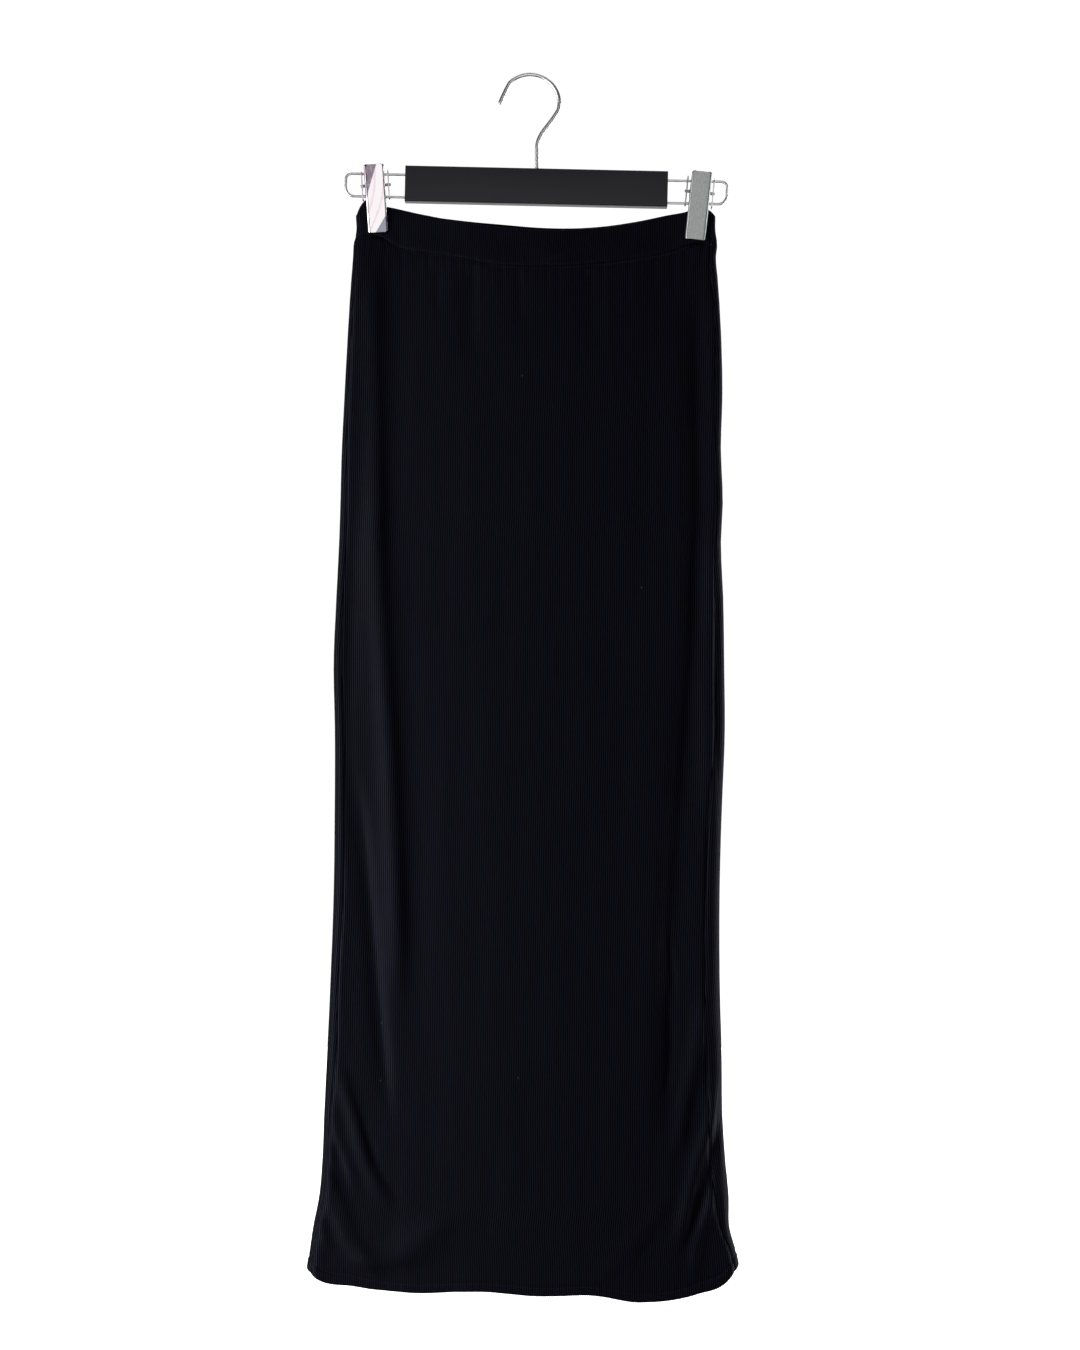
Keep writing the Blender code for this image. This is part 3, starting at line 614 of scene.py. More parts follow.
def hem_line(angle):
    """How far above the hem's edge its stitching runs: further up near the sides."""
    toward_side = (np.abs(np.sin(angle)) - HEM_LINE_RISES_FROM) / (1 - HEM_LINE_RISES_FROM)
    return HEM_LINE + (HEM_LINE_AT_SIDES - HEM_LINE) * ease(toward_side)


def panel_relief(arc, angle, height, start, end):
    """All the relief of a panel."""
    below = edge_height(BAND_SEAM, angle) - height
    above_hem = height - edge_height(HEM_EDGE, angle)
    line = hem_line(angle)
    puff = HEM_PUFF * ease((line - above_hem) / HEM_PUFF_EASE)
    groove = -HEM_GROOVE * bell(above_hem - line, HEM_GROOVE_WIDTH)
    wander = np.sin(arc / HEM_PUCKER_DRIFT)
    ripple = (HEM_PUCKER * np.sin(2 * math.pi * arc / HEM_PUCKER_LENGTH + wander)
              * bell(above_hem - line, HEM_PUCKER_REACH))
    waist = -WAIST_DIP * bell(below, SEAM_DIP_WIDTH)
    return (ribs(arc) + upright_waves(arc, height) + puckers(arc, below, PUCKER_REACH) + waist
            + seam_dips(arc, start, end) + puff + groove + ripple)


print("the hem's stitching runs", HEM_LINE, "to", HEM_LINE_AT_SIDES, "mm above its edge")

# %% All the relief of the waistband
BAND_SLACK = 0.35
BAND_SLACK_LENGTH = 61.0
BAND_HEIGHT = 34.0
BAND_PUCKERS = 0.7
BAND_PUCKER_REACH = 6.0


def band_relief(arc, angle, height, start, end):
    """All the relief of a waistband piece."""
    above = height - edge_height(BAND_SEAM, angle)
    slack = (BAND_SLACK * np.sin(2 * math.pi * arc / BAND_SLACK_LENGTH + 0.8)
             * np.sin(math.pi * above / BAND_HEIGHT))
    waist = -WAIST_DIP * bell(above, SEAM_DIP_WIDTH)
    gathers = puckers(arc, above, BAND_PUCKER_REACH) * BAND_PUCKERS
    return ribs(arc) + gathers + slack + waist + seam_dips(arc, start, end)


print("slack in the waistband:", BAND_SLACK, "mm every", BAND_SLACK_LENGTH, "mm")

# %% [markdown]
# ## Walls of cloth
#
# A wall is a fine outer grid with the relief, a plain lining grid behind it with fewer columns,
# and rims between them. Folded edges, at the waistband's top and the hem, roll over in a half
# circle. Columns that a side seam cuts off fall on one point, so their faces vanish when doubles
# are merged, and the wall stays one closed surface.

# %% Columns at the ribs, rows along the edges
RIB_COLUMNS = 4
HALF_COLUMNS = 432


def cloth_grid(face, height_at):
    """Arc length, ring angle and height of a grid whose rows follow the edges: a few rounds."""
    columns = np.arange(-HALF_COLUMNS, HALF_COLUMNS + 1) * RIB_PITCH / RIB_COLUMNS
    height = height_at(np.full((1, len(columns)), CENTRES[face]))
    for _ in range(5):
        start, end = seam_arcs(face, height)
        arc = np.clip(columns[None, :], start, end)
        angle = CENTRES[face] + turn_at(face, arc, height)
        height = height_at(angle)
    return arc, angle, height, start, end


print("columns of a panel:", 2 * HALF_COLUMNS + 1, "for", 2 * HALF_COLUMNS // RIB_COLUMNS, "ribs")

# %% Folded edges and the rims between fine and coarse rows
ROLL_TURNS = np.radians([28, 56, 84, 112, 140, 160])


def rolled_rows(edge, normal, thickness, rise, down):
    """The half circle that carries the outer surface over a folded edge to the lining."""
    toward = np.array([0.0, 0.0, -1.0 if down else 1.0])
    toward = unit(toward - normal * (normal @ toward)[..., None])
    centre = edge - normal * thickness / 2
    turn = ROLL_TURNS[:, None, None]
    radius = thickness / 2 + rise[None, :, None] * np.cos(turn / 2) ** 2
    return centre + radius * (np.cos(turn) * normal + np.sin(turn) * toward)


def unequal_strip(fine, coarse, flip):
    """Triangles between a fine row and a coarse one that has every nth column."""
    each = (len(fine) - 1) // (len(coarse) - 1)
    step = np.arange(len(fine) - 1)
    fan = np.stack([fine[:-1], fine[1:], coarse[step // each]], axis=-1)
    ends = fine[each::each]
    fill = np.stack([coarse[:-1], ends, coarse[1:]], axis=-1)
    faces = np.concatenate([fan, fill])
    return faces[:, ::-1] if flip else faces


print("a folded edge rolls over in", len(ROLL_TURNS), "rows")

# %% One closed wall of cloth
LINING_EACH = 8


def cloth_wall(name, face, height_at, thickness, relief, rolled, material):
    """One closed wall of cloth. thickness has a value for each row, rolled is top or bottom."""
    arc, angle, height, start, end = cloth_grid(face, height_at)
    base = tube_point(angle, height)
    normal = tube_normal(angle, height)
    rise = relief(arc, angle, height, start, end)
    outer = base + normal * rise[..., None]
    lining = (base - normal * thickness[:, None, None])[:, ::LINING_EACH]
    uv = np.stack([arc, -height], axis=-1)
    row = -1 if rolled == "bottom" else 0
    roll = rolled_rows(base[row], normal[row], thickness[row], rise[row], rolled == "bottom")
    spare = np.repeat(lining[row][None], len(roll), axis=0)
    run = (ROLL_TURNS * thickness[row] / 2)[:, None, None] * np.array([0.0, 1.0])
    roll_uv = uv[row][None] + (run if rolled == "bottom" else -run)
    if rolled == "bottom":
        outer, lining = np.concatenate([outer, roll]), np.concatenate([lining, spare])
        uv = np.concatenate([uv, roll_uv])
    else:
        outer, lining = np.concatenate([roll[::-1], outer]), np.concatenate([spare, lining])
        uv = np.concatenate([roll_uv[::-1], uv])
    rows, columns = outer.shape[:2]
    lining_columns = lining.shape[1]
    fine = np.arange(rows * columns).reshape(rows, columns)
    coarse = np.arange(rows * lining_columns).reshape(rows, lining_columns) + fine.size
    sides = np.concatenate([
        np.stack([fine[1:, 0], fine[:-1, 0], coarse[:-1, 0], coarse[1:, 0]], axis=-1),
        np.stack([fine[:-1, -1], fine[1:, -1], coarse[1:, -1], coarse[:-1, -1]], axis=-1)])
    faces = grid_faces(rows, columns).tolist()
    faces += grid_faces(rows, lining_columns, first=fine.size)[:, ::-1].tolist()
    faces += sides.tolist()
    faces += unequal_strip(fine[0], coarse[0], flip=False).tolist()
    faces += unequal_strip(fine[-1], coarse[-1], flip=True).tolist()
    points = np.concatenate([outer.reshape(-1, 3), lining.reshape(-1, 3)])
    all_uv = np.concatenate([uv.reshape(-1, 2), uv[:, ::LINING_EACH].reshape(-1, 2)])
    return mesh_object(name, points, faces, material, uv=all_uv, merge=True)


print("the lining has one column for every", LINING_EACH, "outside")

# %% [markdown]
# ## Material helpers
#
# Finishes are node trees. Small helpers keep them short: they add a node, join a value or an output
# to a socket, do arithmetic, and make noise, ramps and bumps. A value that is the same all over a
# piece is set straight on the shader's socket, so that it survives an export.

# %% Nodes, joins and arithmetic
def add_node(tree, kind, **settings):
    """A shader node with its settings."""
    made = tree.nodes.new("ShaderNode" + kind)
    for name, value in settings.items():
        setattr(made, name, value)
    return made


def join(tree, source, socket):
    """Feeds a socket from another socket, or sets its own value."""
    if isinstance(source, bpy.types.NodeSocket):
        tree.links.new(source, socket)
    else:
        socket.default_value = source


def maths(tree, operation, *values, clamp=False):
    """One arithmetic step."""
    step = add_node(tree, "Math", operation=operation, use_clamp=clamp)
    for value, socket in zip(values, step.inputs):
        join(tree, value, socket)
    return step.outputs[0]


def between(tree, share, low, high, clamp=False):
    """A value that is low where the share is 0 and high where it is 1."""
    return maths(tree, "MULTIPLY_ADD", share, high - low, low, clamp=clamp)


def feed(tree, node, **sources):
    """Joins each source to the node's input of that name."""
    for label, source in sources.items():
        join(tree, source, node.inputs[label.replace("_", " ")])


def split(tree, vector):
    """A vector's X, Y and Z."""
    parts = add_node(tree, "SeparateXYZ")
    join(tree, vector, parts.inputs[0])
    return parts.outputs


print("arithmetic steps and joins are ready;", len(bpy.data.materials), "materials so far")


# %% Noise, ramps, bumps and blends
def noise(tree, place, scale, detail=3.0, roughness=0.5, stretch=(1, 1, 1)):
    """Noise at a scale in features for each metre, stretched in its own space."""
    mapping = add_node(tree, "Mapping")
    feed(tree, mapping, Scale=stretch, Vector=place)
    made = add_node(tree, "TexNoise")
    feed(tree, made, Vector=mapping.outputs[0], Scale=scale, Detail=detail, Roughness=roughness)
    return made.outputs["Fac"]


def ramp(tree, factor, *stops):
    """A colour ramp from (place, colour) stops."""
    made = add_node(tree, "ValToRGB")
    while len(made.color_ramp.elements) < len(stops):
        made.color_ramp.elements.new(1.0)
    for element, (place, colour) in zip(made.color_ramp.elements, stops):
        element.position = place
        element.color = (*colour, 1.0)
    join(tree, factor, made.inputs[0])
    return made.outputs[0]


def bump(tree, height, distance, strength=1.0, over=None):
    """A bump normal, laid over another where one is given."""
    made = add_node(tree, "Bump")
    feed(tree, made, Strength=strength, Distance=distance, Height=height)
    if over is not None:
        join(tree, over, made.inputs["Normal"])
    return made.outputs[0]


def blend_colours(tree, share, first, second):
    """The first colour where the share is 0, the second where it is 1."""
    made = add_node(tree, "Mix", data_type="RGBA")
    join(tree, share, made.inputs[0])
    for colour, socket in ((first, made.inputs[6]), (second, made.inputs[7])):
        join(tree, (*colour, 1.0) if isinstance(colour, tuple) else colour, socket)
    return made.outputs[2]


print("patterns: noise, ramps, bumps and blends are ready")


# %% A material with its constant values
def new_material(name, roughness=0.5, metallic=0.0, **constants):
    """A Principled material whose constant values sit on the shader's own sockets."""
    material = bpy.data.materials.new(name)
    material.use_nodes = True
    tree = material.node_tree
    shader = tree.nodes["Principled BSDF"]
    feed(tree, shader, Roughness=roughness, Metallic=metallic, **constants)
    place = add_node(tree, "TexCoord").outputs["Object"]
    return material, tree, shader, place


print("every finish starts as one shader with its constant values on its own sockets")

# %% [markdown]
# ## Rib knit
#
# The yarn is black with a hint of navy. The ribs are real relief. The material adds what is finer:
# V-shaped stitches up each rib, crowns that shine a little blue, rougher grooves with painted shade
# that makes them nearly black and dims their shine, loose fibres, a faint unevenness of the dye and
# a few specks of lint. It reads the cloth's own map, in metres, so the stitches follow every fold.

# %% A little lint
LINT = (0.035, 0.035, 0.04)
LINT_CELLS = 9.0
LINT_RADIUS = 0.7 * MM
LINT_ABOVE = 0.72


def lint(tree, cloth):
    """1 on a few specks of lint: the middles of some cells of a wide Voronoi pattern."""
    cells = add_node(tree, "TexVoronoi", voronoi_dimensions="2D")
    feed(tree, cells, Scale=LINT_CELLS, Vector=cloth)
    near = maths(tree, "LESS_THAN", cells.outputs["Distance"], LINT_RADIUS * LINT_CELLS)
    pick = add_node(tree, "SeparateColor")
    join(tree, cells.outputs["Color"], pick.inputs[0])
    return maths(tree, "MULTIPLY", near, maths(tree, "GREATER_THAN", pick.outputs[0], LINT_ABOVE))


print("lint lies on about", round(100 * (1 - LINT_ABOVE)), "percent of the cells")

# %% The knit's finish
KNIT_CROWN = (0.0034, 0.0033, 0.0058)
# Painted shade: the grooves' colour is far darker than the crowns', where shade falls between the
# ribs.
KNIT_GROOVE_PAINTED_SHADE = (0.0006, 0.0006, 0.0012)
CROWN_SHINE = (0.58, 0.60, 1.0)
# Painted shade: the grooves' shine is tinted nearly black, against the crowns' blue shine.
GROOVE_SHINE_PAINTED_SHADE = (0.05, 0.05, 0.09)
CROWN_ROUGHNESS = 0.32
GROOVE_ROUGHNESS = 0.80
STITCH_LENGTH = 1.15 * MM
STITCH_SLANT = 1.3
STITCH_RELIEF = 0.035 * MM
FIBRE_SCALE = 1900.0
FIBRE_RELIEF = 0.02 * MM
DYE_SCALE = 26.0


def knit_material():
    """Rib knit: chevron stitches, grooves darkened by painted shade, fibres and a little lint."""
    material, tree, shader, _ = new_material(
        "rib_knit", Specular_IOR_Level=0.12, Sheen_Weight=0.03, Sheen_Roughness=0.3,
        Sheen_Tint=(0.7, 0.76, 1.0, 1.0))
    cloth = add_node(tree, "UVMap", uv_map="cloth").outputs[0]
    parts = split(tree, cloth)
    ribs_across = maths(tree, "DIVIDE", parts["X"], RIB_PITCH * MM)
    wave = maths(tree, "COSINE", maths(tree, "MULTIPLY", ribs_across, 2 * math.pi))
    crown = between(tree, wave, 0.5, 1.0)
    in_rib = maths(tree, "ABSOLUTE", maths(tree, "SUBTRACT", ribs_across,
                                           maths(tree, "ROUND", ribs_across)))
    rows_down = maths(tree, "DIVIDE", parts["Y"], STITCH_LENGTH)
    slanted = maths(tree, "MULTIPLY_ADD", in_rib, STITCH_SLANT, rows_down)
    stitch = maths(tree, "SINE", maths(tree, "MULTIPLY", slanted, 2 * math.pi))
    fibre = noise(tree, cloth, FIBRE_SCALE, detail=3.0, roughness=0.6, stretch=(1, 0.4, 1))
    stitches = bump(tree, maths(tree, "MULTIPLY", stitch, crown), STITCH_RELIEF, 0.8)

    dye = noise(tree, cloth, DYE_SCALE, detail=4.0, stretch=(1, 0.35, 1))
    shade = add_node(tree, "VectorMath", operation="SCALE")
    # Painted shade: the base colour darkens from each rib's crown to its groove.
    join(tree, ramp(tree, crown, (0.08, KNIT_GROOVE_PAINTED_SHADE), (0.75, KNIT_CROWN)), shade.inputs[0])
    join(tree, between(tree, dye, 0.75, 1.25), shade.inputs["Scale"])
    feed(tree, shader,
         Base_Color=blend_colours(tree, lint(tree, cloth), shade.outputs[0], LINT),
         Roughness=between(tree, crown, GROOVE_ROUGHNESS, CROWN_ROUGHNESS),
         # Painted shade: the shine's tint darkens towards each groove.
         Specular_Tint=ramp(tree, crown, (0.12, GROOVE_SHINE_PAINTED_SHADE), (0.70, CROWN_SHINE)),
         Normal=bump(tree, fibre, FIBRE_RELIEF, 0.6, over=stitches))
    return material


knit = knit_material()
print(knit.name, "has", len(knit.node_tree.nodes), "nodes")

# %% [markdown]
# ## Front and back panels
#
# Rows are closer together where the cloth creases, near the hem, and closest at the hem's
# stitching. The last rows are the turned-up hem, a thicker wall. Rows run from the waistband's
# seam to the hem's edge, both of which sag, so a row's height depends on where it is.

# %% Rows of a panel
HEM_WALL = 2.2
HEM_DEPTH = 8.0
RowZone = namedtuple("RowZone", "down_to spacing")
ROW_ZONES = [RowZone(-190, 4), RowZone(-330, 13), RowZone(-740, 17), RowZone(-900, 9),
             RowZone(-1080, 5.6)]
HEM_ROWS = np.array([0.0, 1.5, 3.0, 4.2, 5.4, 6.6, 8.0, 9.6, 11.2, 12.8, 14.4])


def panel_shares():
    """Shares of the way down to the first hem row, in zones of even spacing."""
    heights = [float(np.mean(column(BAND_SEAM, "front")))]
    for zone in ROW_ZONES:
        steps = max(1, round((heights[-1] - zone.down_to) / zone.spacing))
        heights += list(np.linspace(heights[-1], zone.down_to, steps + 1)[1:])
    heights = np.array(heights)
    return (heights[0] - heights) / (heights[0] - heights[-1])


print("rows of a panel above its hem:", len(panel_shares()))


# %% The two panels
def make_panel(name, face):
    """One panel, from the waistband's seam down over the hem's folded edge."""
    body = panel_shares()[:-1]
    share = np.concatenate([body, np.ones(len(HEM_ROWS))])[:, None]
    drop = np.concatenate([0 * body, HEM_ROWS])[:, None]

    def height_at(angle):
        """The height of every row at the ring angles: between the seam and the hem, then down."""
        top = edge_height(BAND_SEAM, angle) - SEAM_GAP / 2
        hem_top = edge_height(HEM_EDGE, angle) + HEM_WALL / 2 + HEM_ROWS[-1]
        return top + (hem_top - top) * share - drop

    thickness = np.where(drop[:, 0] > HEM_ROWS[-1] - HEM_DEPTH, HEM_WALL, PANEL_WALL)
    return cloth_wall(name, face, height_at, thickness, panel_relief, "bottom", knit)


panels = {face: make_panel(f"{face}_panel_cloth", face) for face in ("front", "back")}

# %% [markdown]
# ## Waistband
#
# The band is the same knit folded double along its top edge. Held at its two ends it sags between
# the clips, and its back hangs a little higher than its front, so a strip of it shows.

# %% The two band pieces
BAND_WALL = 2.4
BAND_ROWS = 16


def make_band(name, face):
    """One waistband piece, from its rolled top edge down to its seam."""
    shares = np.linspace(0.0, 1.0, BAND_ROWS + 1)[:, None]

    def height_at(angle):
        """The height of every row at the ring angles: evenly between the top and the seam."""
        top = edge_height(BAND_TOP, angle) - BAND_WALL / 2
        bottom = edge_height(BAND_SEAM, angle) + SEAM_GAP / 2
        return top + (bottom - top) * shares

    thickness = np.full(len(shares), BAND_WALL)
    return cloth_wall(name, face, height_at, thickness, band_relief, "top", knit)


bands = {face: make_band(f"waistband_{face}_cloth", face) for face in ("front", "back")}

# %% [markdown]
# ## Hem stitching
#
# The hem is held by one row of machine stitches in black thread. Each stitch is a short thread
# that starts and ends in the cloth and bows out between, all made at once as one array.

# %% Threads along the hem line
STITCH_STEP = 3.0
STITCH_REACH = 2.3
THREAD_RADIUS = 0.22
THREAD_LIFT = 1.4
THREAD_DIVE = 8.0
STITCH_RINGS = 5
STITCH_SIDES = 6
STITCH_LEVEL = -1090.0


def cloth_point(face, arc, height):
    """The relief surface at an arc length and height, and its direction."""
    angle = CENTRES[face] + turn_at(face, arc, height)
    start, end = seam_arcs(face, height)
    normal = tube_normal(angle, height)
    rise = panel_relief(arc, angle, height, start, end)
    return tube_point(angle, height) + normal * rise[..., None], normal


def hem_stitches(face):
    """Threads along the hem line of one face: rings about a path that bows out of the surface
    by a parabola, and whose radius shrinks towards both ends as a circle does."""
    start, end = seam_arcs(face, np.array(STITCH_LEVEL))
    middles = np.arange(start + STITCH_STEP, end - STITCH_STEP, STITCH_STEP)
    along = np.linspace(-0.5, 0.5, STITCH_RINGS)
    arc = middles[:, None] + along[None, :] * STITCH_REACH
    height = np.full(arc.shape, STITCH_LEVEL)
    for _ in range(4):
        angle = CENTRES[face] + turn_at(face, arc, height)
        height = edge_height(HEM_EDGE, angle) + hem_line(angle)
    point, normal = cloth_point(face, arc, height)
    bow = THREAD_RADIUS * (THREAD_LIFT - THREAD_DIVE * along ** 2)
    centre = point + normal * bow[None, :, None]
    run = unit(np.gradient(centre, axis=1))
    size = THREAD_RADIUS * np.sqrt(np.maximum(1 - (1.9 * along) ** 2, 0.02))
    rings = rings_about(centre, normal, np.cross(normal, run), size[None, :], STITCH_SIDES)
    one = capped_faces(STITCH_RINGS, STITCH_SIDES)
    firsts = np.arange(len(middles)) * STITCH_RINGS * STITCH_SIDES
    return rings, [[int(first) + index for index in ring] for first in firsts for ring in one]


print("stitches on the front:", len(hem_stitches("front")[0]))


# %% Thread and the two rows of stitches
def thread_material():
    """Twisted black thread."""
    material, tree, shader, place = new_material("black_thread", roughness=0.5,
                                                 Specular_IOR_Level=0.08)
    twist = noise(tree, place, 2600.0, detail=2.0)
    feed(tree, shader, Normal=bump(tree, twist, 0.05 * MM),
         Base_Color=ramp(tree, twist, (0.3, (0.006, 0.006, 0.009)), (0.8, (0.014, 0.014, 0.019))))
    return material


thread = thread_material()
for face in CENTRES:
    points, faces = hem_stitches(face)
    mesh_object(f"hem_stitches_{face}", points, faces, thread)

# %% [markdown]
# ## Finishes of the hanger
#
# The bar is satin black plastic with a fine grain. The hook, the loops, the springs and most of the
# cheeks are bright and plated. The left clip is polished, with painted reflections in its colour:
# faint rosy streaks on the slant, a dark purple-grey patch at its upper left corner and a grey-lilac
# one at its lower right, each past a straight edge. The right clip is brushed, with a fine upright
# grain and small pits. The jaw pads are milky rubber.

# %% Plastic and plated wire
def bar_material():
    """Satin black plastic with a fine moulded grain and slightly rubbed tone."""
    material, tree, shader, place = new_material("satin_black", Specular_IOR_Level=0.30)
    grain = noise(tree, place, 900.0, detail=4.0, roughness=0.65)
    rubbed = noise(tree, place, 30.0, detail=5.0, stretch=(0.3, 1, 1))
    feed(tree, shader, Roughness=between(tree, grain, 0.34, 0.56),
         Normal=bump(tree, grain, 0.06 * MM, 0.5),
         Base_Color=ramp(tree, rubbed, (0.3, (0.011, 0.011, 0.015)), (0.75, (0.016, 0.016, 0.022))))
    return material


def wire_material():
    """Bright plated wire with faint drawing marks."""
    material, tree, shader, place = new_material("plated_wire", metallic=1.0)
    marks = noise(tree, place, 700.0, detail=3.0, stretch=(0.2, 1, 0.2))
    feed(tree, shader, Roughness=between(tree, marks, 0.24, 0.40),
         Base_Color=ramp(tree, marks, (0.3, (0.66, 0.66, 0.67)), (0.7, (0.80, 0.80, 0.81))))
    return material


satin_black = bar_material()
plated_wire = wire_material()
print("made", satin_black.name, "and", plated_wire.name)

# %% Polished plating
Slant = namedtuple("Slant", "start slope sharpness")
# Painted reflection: a dark purple-grey patch past the first edge, at the upper left corner.
PAINTED_UPPER_REFLECTION_EDGE = Slant(-3.2, 0.376, 1.1)
# Painted reflection: a grey-lilac patch past the second edge, at the lower right corner.
PAINTED_LOWER_REFLECTION_EDGE = Slant(28.1, 0.695, 2.0)
STREAK_BEND = 0.006
STREAK_LEAN = -0.12
STREAK_RATE = 0.75
STREAK_WANDER = 3.4


def past_slant(tree, x, z, slant, side):
    """0 to 1 across the edge x = start + slope z, to its right for side 1 or its left for -1."""
    across = maths(tree, "MULTIPLY_ADD", x, side, -side * slant.start)
    past = maths(tree, "MULTIPLY_ADD", z, -side * slant.slope, across)
    return maths(tree, "MULTIPLY", past, slant.sharpness, clamp=True)


def polished_material(spot, turn):
    """Mirror plating, laid out in millimetres from the clip's pin at the spot, along its turned X
    and Z, with painted reflections in its colour: rosy streaks where a sine of x, leaned and bent
    with z and moved by noise, is high, and dark patches past slanted edges at two corners."""
    material, tree, shader, place = new_material("polished_plate", metallic=1.0)
    own = add_node(tree, "Mapping", vector_type="TEXTURE")
    feed(tree, own, Location=spot, Rotation=(0.0, turn, 0.0), Scale=(MM, MM, MM), Vector=place)
    parts = split(tree, own.outputs[0])
    x, z = parts["X"], parts["Z"]
    mottle = noise(tree, place, 420.0, detail=4.0, roughness=0.7)
    # Painted reflection: a mottled purple-grey patch at the upper left corner.
    upper_painted_reflection = maths(tree, "MULTIPLY", past_slant(tree, x, z, PAINTED_UPPER_REFLECTION_EDGE, -1),
                   between(tree, mottle, 0.05, 1.95, clamp=True))
    curve = maths(tree, "MULTIPLY_ADD", maths(tree, "MULTIPLY", z, z), STREAK_BEND,
                  maths(tree, "MULTIPLY_ADD", z, STREAK_LEAN, x))
    wander = maths(tree, "MULTIPLY", mottle, STREAK_WANDER)
    # Painted reflection: rosy streaks on the slant, laid into the plating's colour.
    streaks = maths(tree, "SINE", maths(tree, "MULTIPLY_ADD", curve, STREAK_RATE, wander))
    plating = ramp(tree, streaks, (0.55, (0.82, 0.79, 0.805)), (1.0, (0.76, 0.62, 0.68)))
    plating = blend_colours(tree, upper_painted_reflection, plating, (0.21, 0.17, 0.21))
    # Painted reflection: a grey-lilac patch at the lower right corner.
    lower_painted_reflection = past_slant(tree, x, z, PAINTED_LOWER_REFLECTION_EDGE, 1)
    feed(tree, shader, Base_Color=blend_colours(tree, lower_painted_reflection, plating, (0.27, 0.27, 0.33)),
         Roughness=between(tree, mottle, 0.04, 0.16))
    return material


print("the streaks are", round(2 * math.pi / STREAK_RATE, 1), "mm apart")


# %% Brushed steel and rubber
def brushed_material():
    """Brushed steel: fine upright grain with small pits."""
    material, tree, shader, place = new_material("brushed_steel", metallic=1.0)
    grain = noise(tree, place, 1400.0, detail=3.0, stretch=(1, 1, 0.06))
    pits = noise(tree, place, 1100.0, detail=2.0)
    pitted = maths(tree, "MULTIPLY", grain, pits)
    feed(tree, shader, Roughness=between(tree, grain, 0.28, 0.53),
         Normal=bump(tree, grain, 0.03 * MM, 0.6),
         Base_Color=ramp(tree, pitted, (0.14, (0.30, 0.32, 0.31)), (0.34, (0.44, 0.46, 0.45))))
    return material


def rubber_material():
    """Milky rubber."""
    material, tree, shader, place = new_material("milky_rubber", roughness=0.55,
                                                 Subsurface_Weight=0.15, Subsurface_Scale=0.002)
    cloud = noise(tree, place, 160.0, detail=3.0)
    feed(tree, shader, Normal=bump(tree, noise(tree, place, 1500.0), 0.04 * MM, 0.4),
         Base_Color=ramp(tree, cloud, (0.3, (0.55, 0.54, 0.51)), (0.7, (0.66, 0.65, 0.62))))
    return material


brushed = brushed_material()
milky_rubber = rubber_material()
print("made", brushed.name, "and", milky_rubber.name)

# %% [markdown]
# ## The bar
#
# The bar is a straight block, a little lower at its right end. Its form is a rounded rectangle
# carried from end to end, and both end faces are dished by the same radius. The holes for the wires
# are real ones, cut with a Boolean from round cutters.

# %% Places on the hanger, and a rounded block
HANGER_CENTRE = np.array([5.8, 0.0, -100.9])
HANGER_TILT = math.radians(1.25)
BAR_SIZE = (238.8, 12.0, 32.4)
BAR_RADIUS = 1.6


def placed(points, centre, tilt):
    """Points turned about the Y axis and moved."""
    c, s = math.cos(tilt), math.sin(tilt)
    turn = np.array([[c, 0, s], [0, 1, 0], [-s, 0, c]])
    return np.asarray(points, dtype=float) @ turn.T + np.asarray(centre)


def rounded_block(size, radius, steps=5):
    """A rounded rectangle in Y and Z carried along X. Its first and last rings step back from the
    ends as they shrink, by one radius in all, so the end faces are dished."""
    half = np.array(size) / 2
    quarter = np.linspace(0, math.pi / 2, steps + 1)
    corner = np.stack([np.cos(quarter), np.sin(quarter)], axis=-1)
    corners = [((1, 1), corner), ((-1, 1), corner[::-1]), ((-1, -1), corner), ((1, -1), corner[::-1])]
    dish = radius * (1 - np.sin(quarter))
    rings = []
    for place, less in zip([*(dish - half[0]), *(half[0] - dish[::-1])], [*dish, *dish[::-1]]):
        profile = np.concatenate([np.array(sign) * (half[1:] - radius + curve * (radius - less))
                                  for sign, curve in corners])
        rings.append(np.column_stack([np.full(len(profile), place), profile]))
    return np.array(rings), capped_faces(len(rings), len(rings[0]))


points, faces = rounded_block(BAR_SIZE, BAR_RADIUS)
bar = mesh_object("bar", placed(points, HANGER_CENTRE, HANGER_TILT), faces, satin_black,
                  turned=True)

# %% Sockets for the wires
WIRE_DIAMETER = 2.6
HOOK_DIAMETER = 3.8
LOOP_TOP = 8.8
LOOP_BOTTOM = -11.7
SOCKET_DEPTH = 14.0
RUNNING_GAP = 0.35
HOOK_STEM = 6.2
DRILL_OVERRUN = 3.0
HOOK_DRILL_OVERRUN = 4.0


def drill(piece, path, radius):
    """Cuts a round hole along a straight path and applies it."""
    rings, faces = tube_mesh(path, radius, sides=24)
    mesh = bpy.data.meshes.new("drill")
    mesh.from_pydata((rings.reshape(-1, 3) * MM).tolist(), [], faces)
    point_outwards(mesh)
    cutter = add_object("drill", mesh)
    hole = piece.modifiers.new("hole", "BOOLEAN")
    hole.operation = "DIFFERENCE"
    hole.object = cutter
    bpy.context.view_layer.update()
    cut = bpy.data.meshes.new_from_object(piece.evaluated_get(bpy.context.evaluated_depsgraph_get()))
    piece.modifiers.remove(hole)
    old = piece.data
    piece.data = cut
    bpy.data.meshes.remove(old)
    bpy.data.objects.remove(cutter)


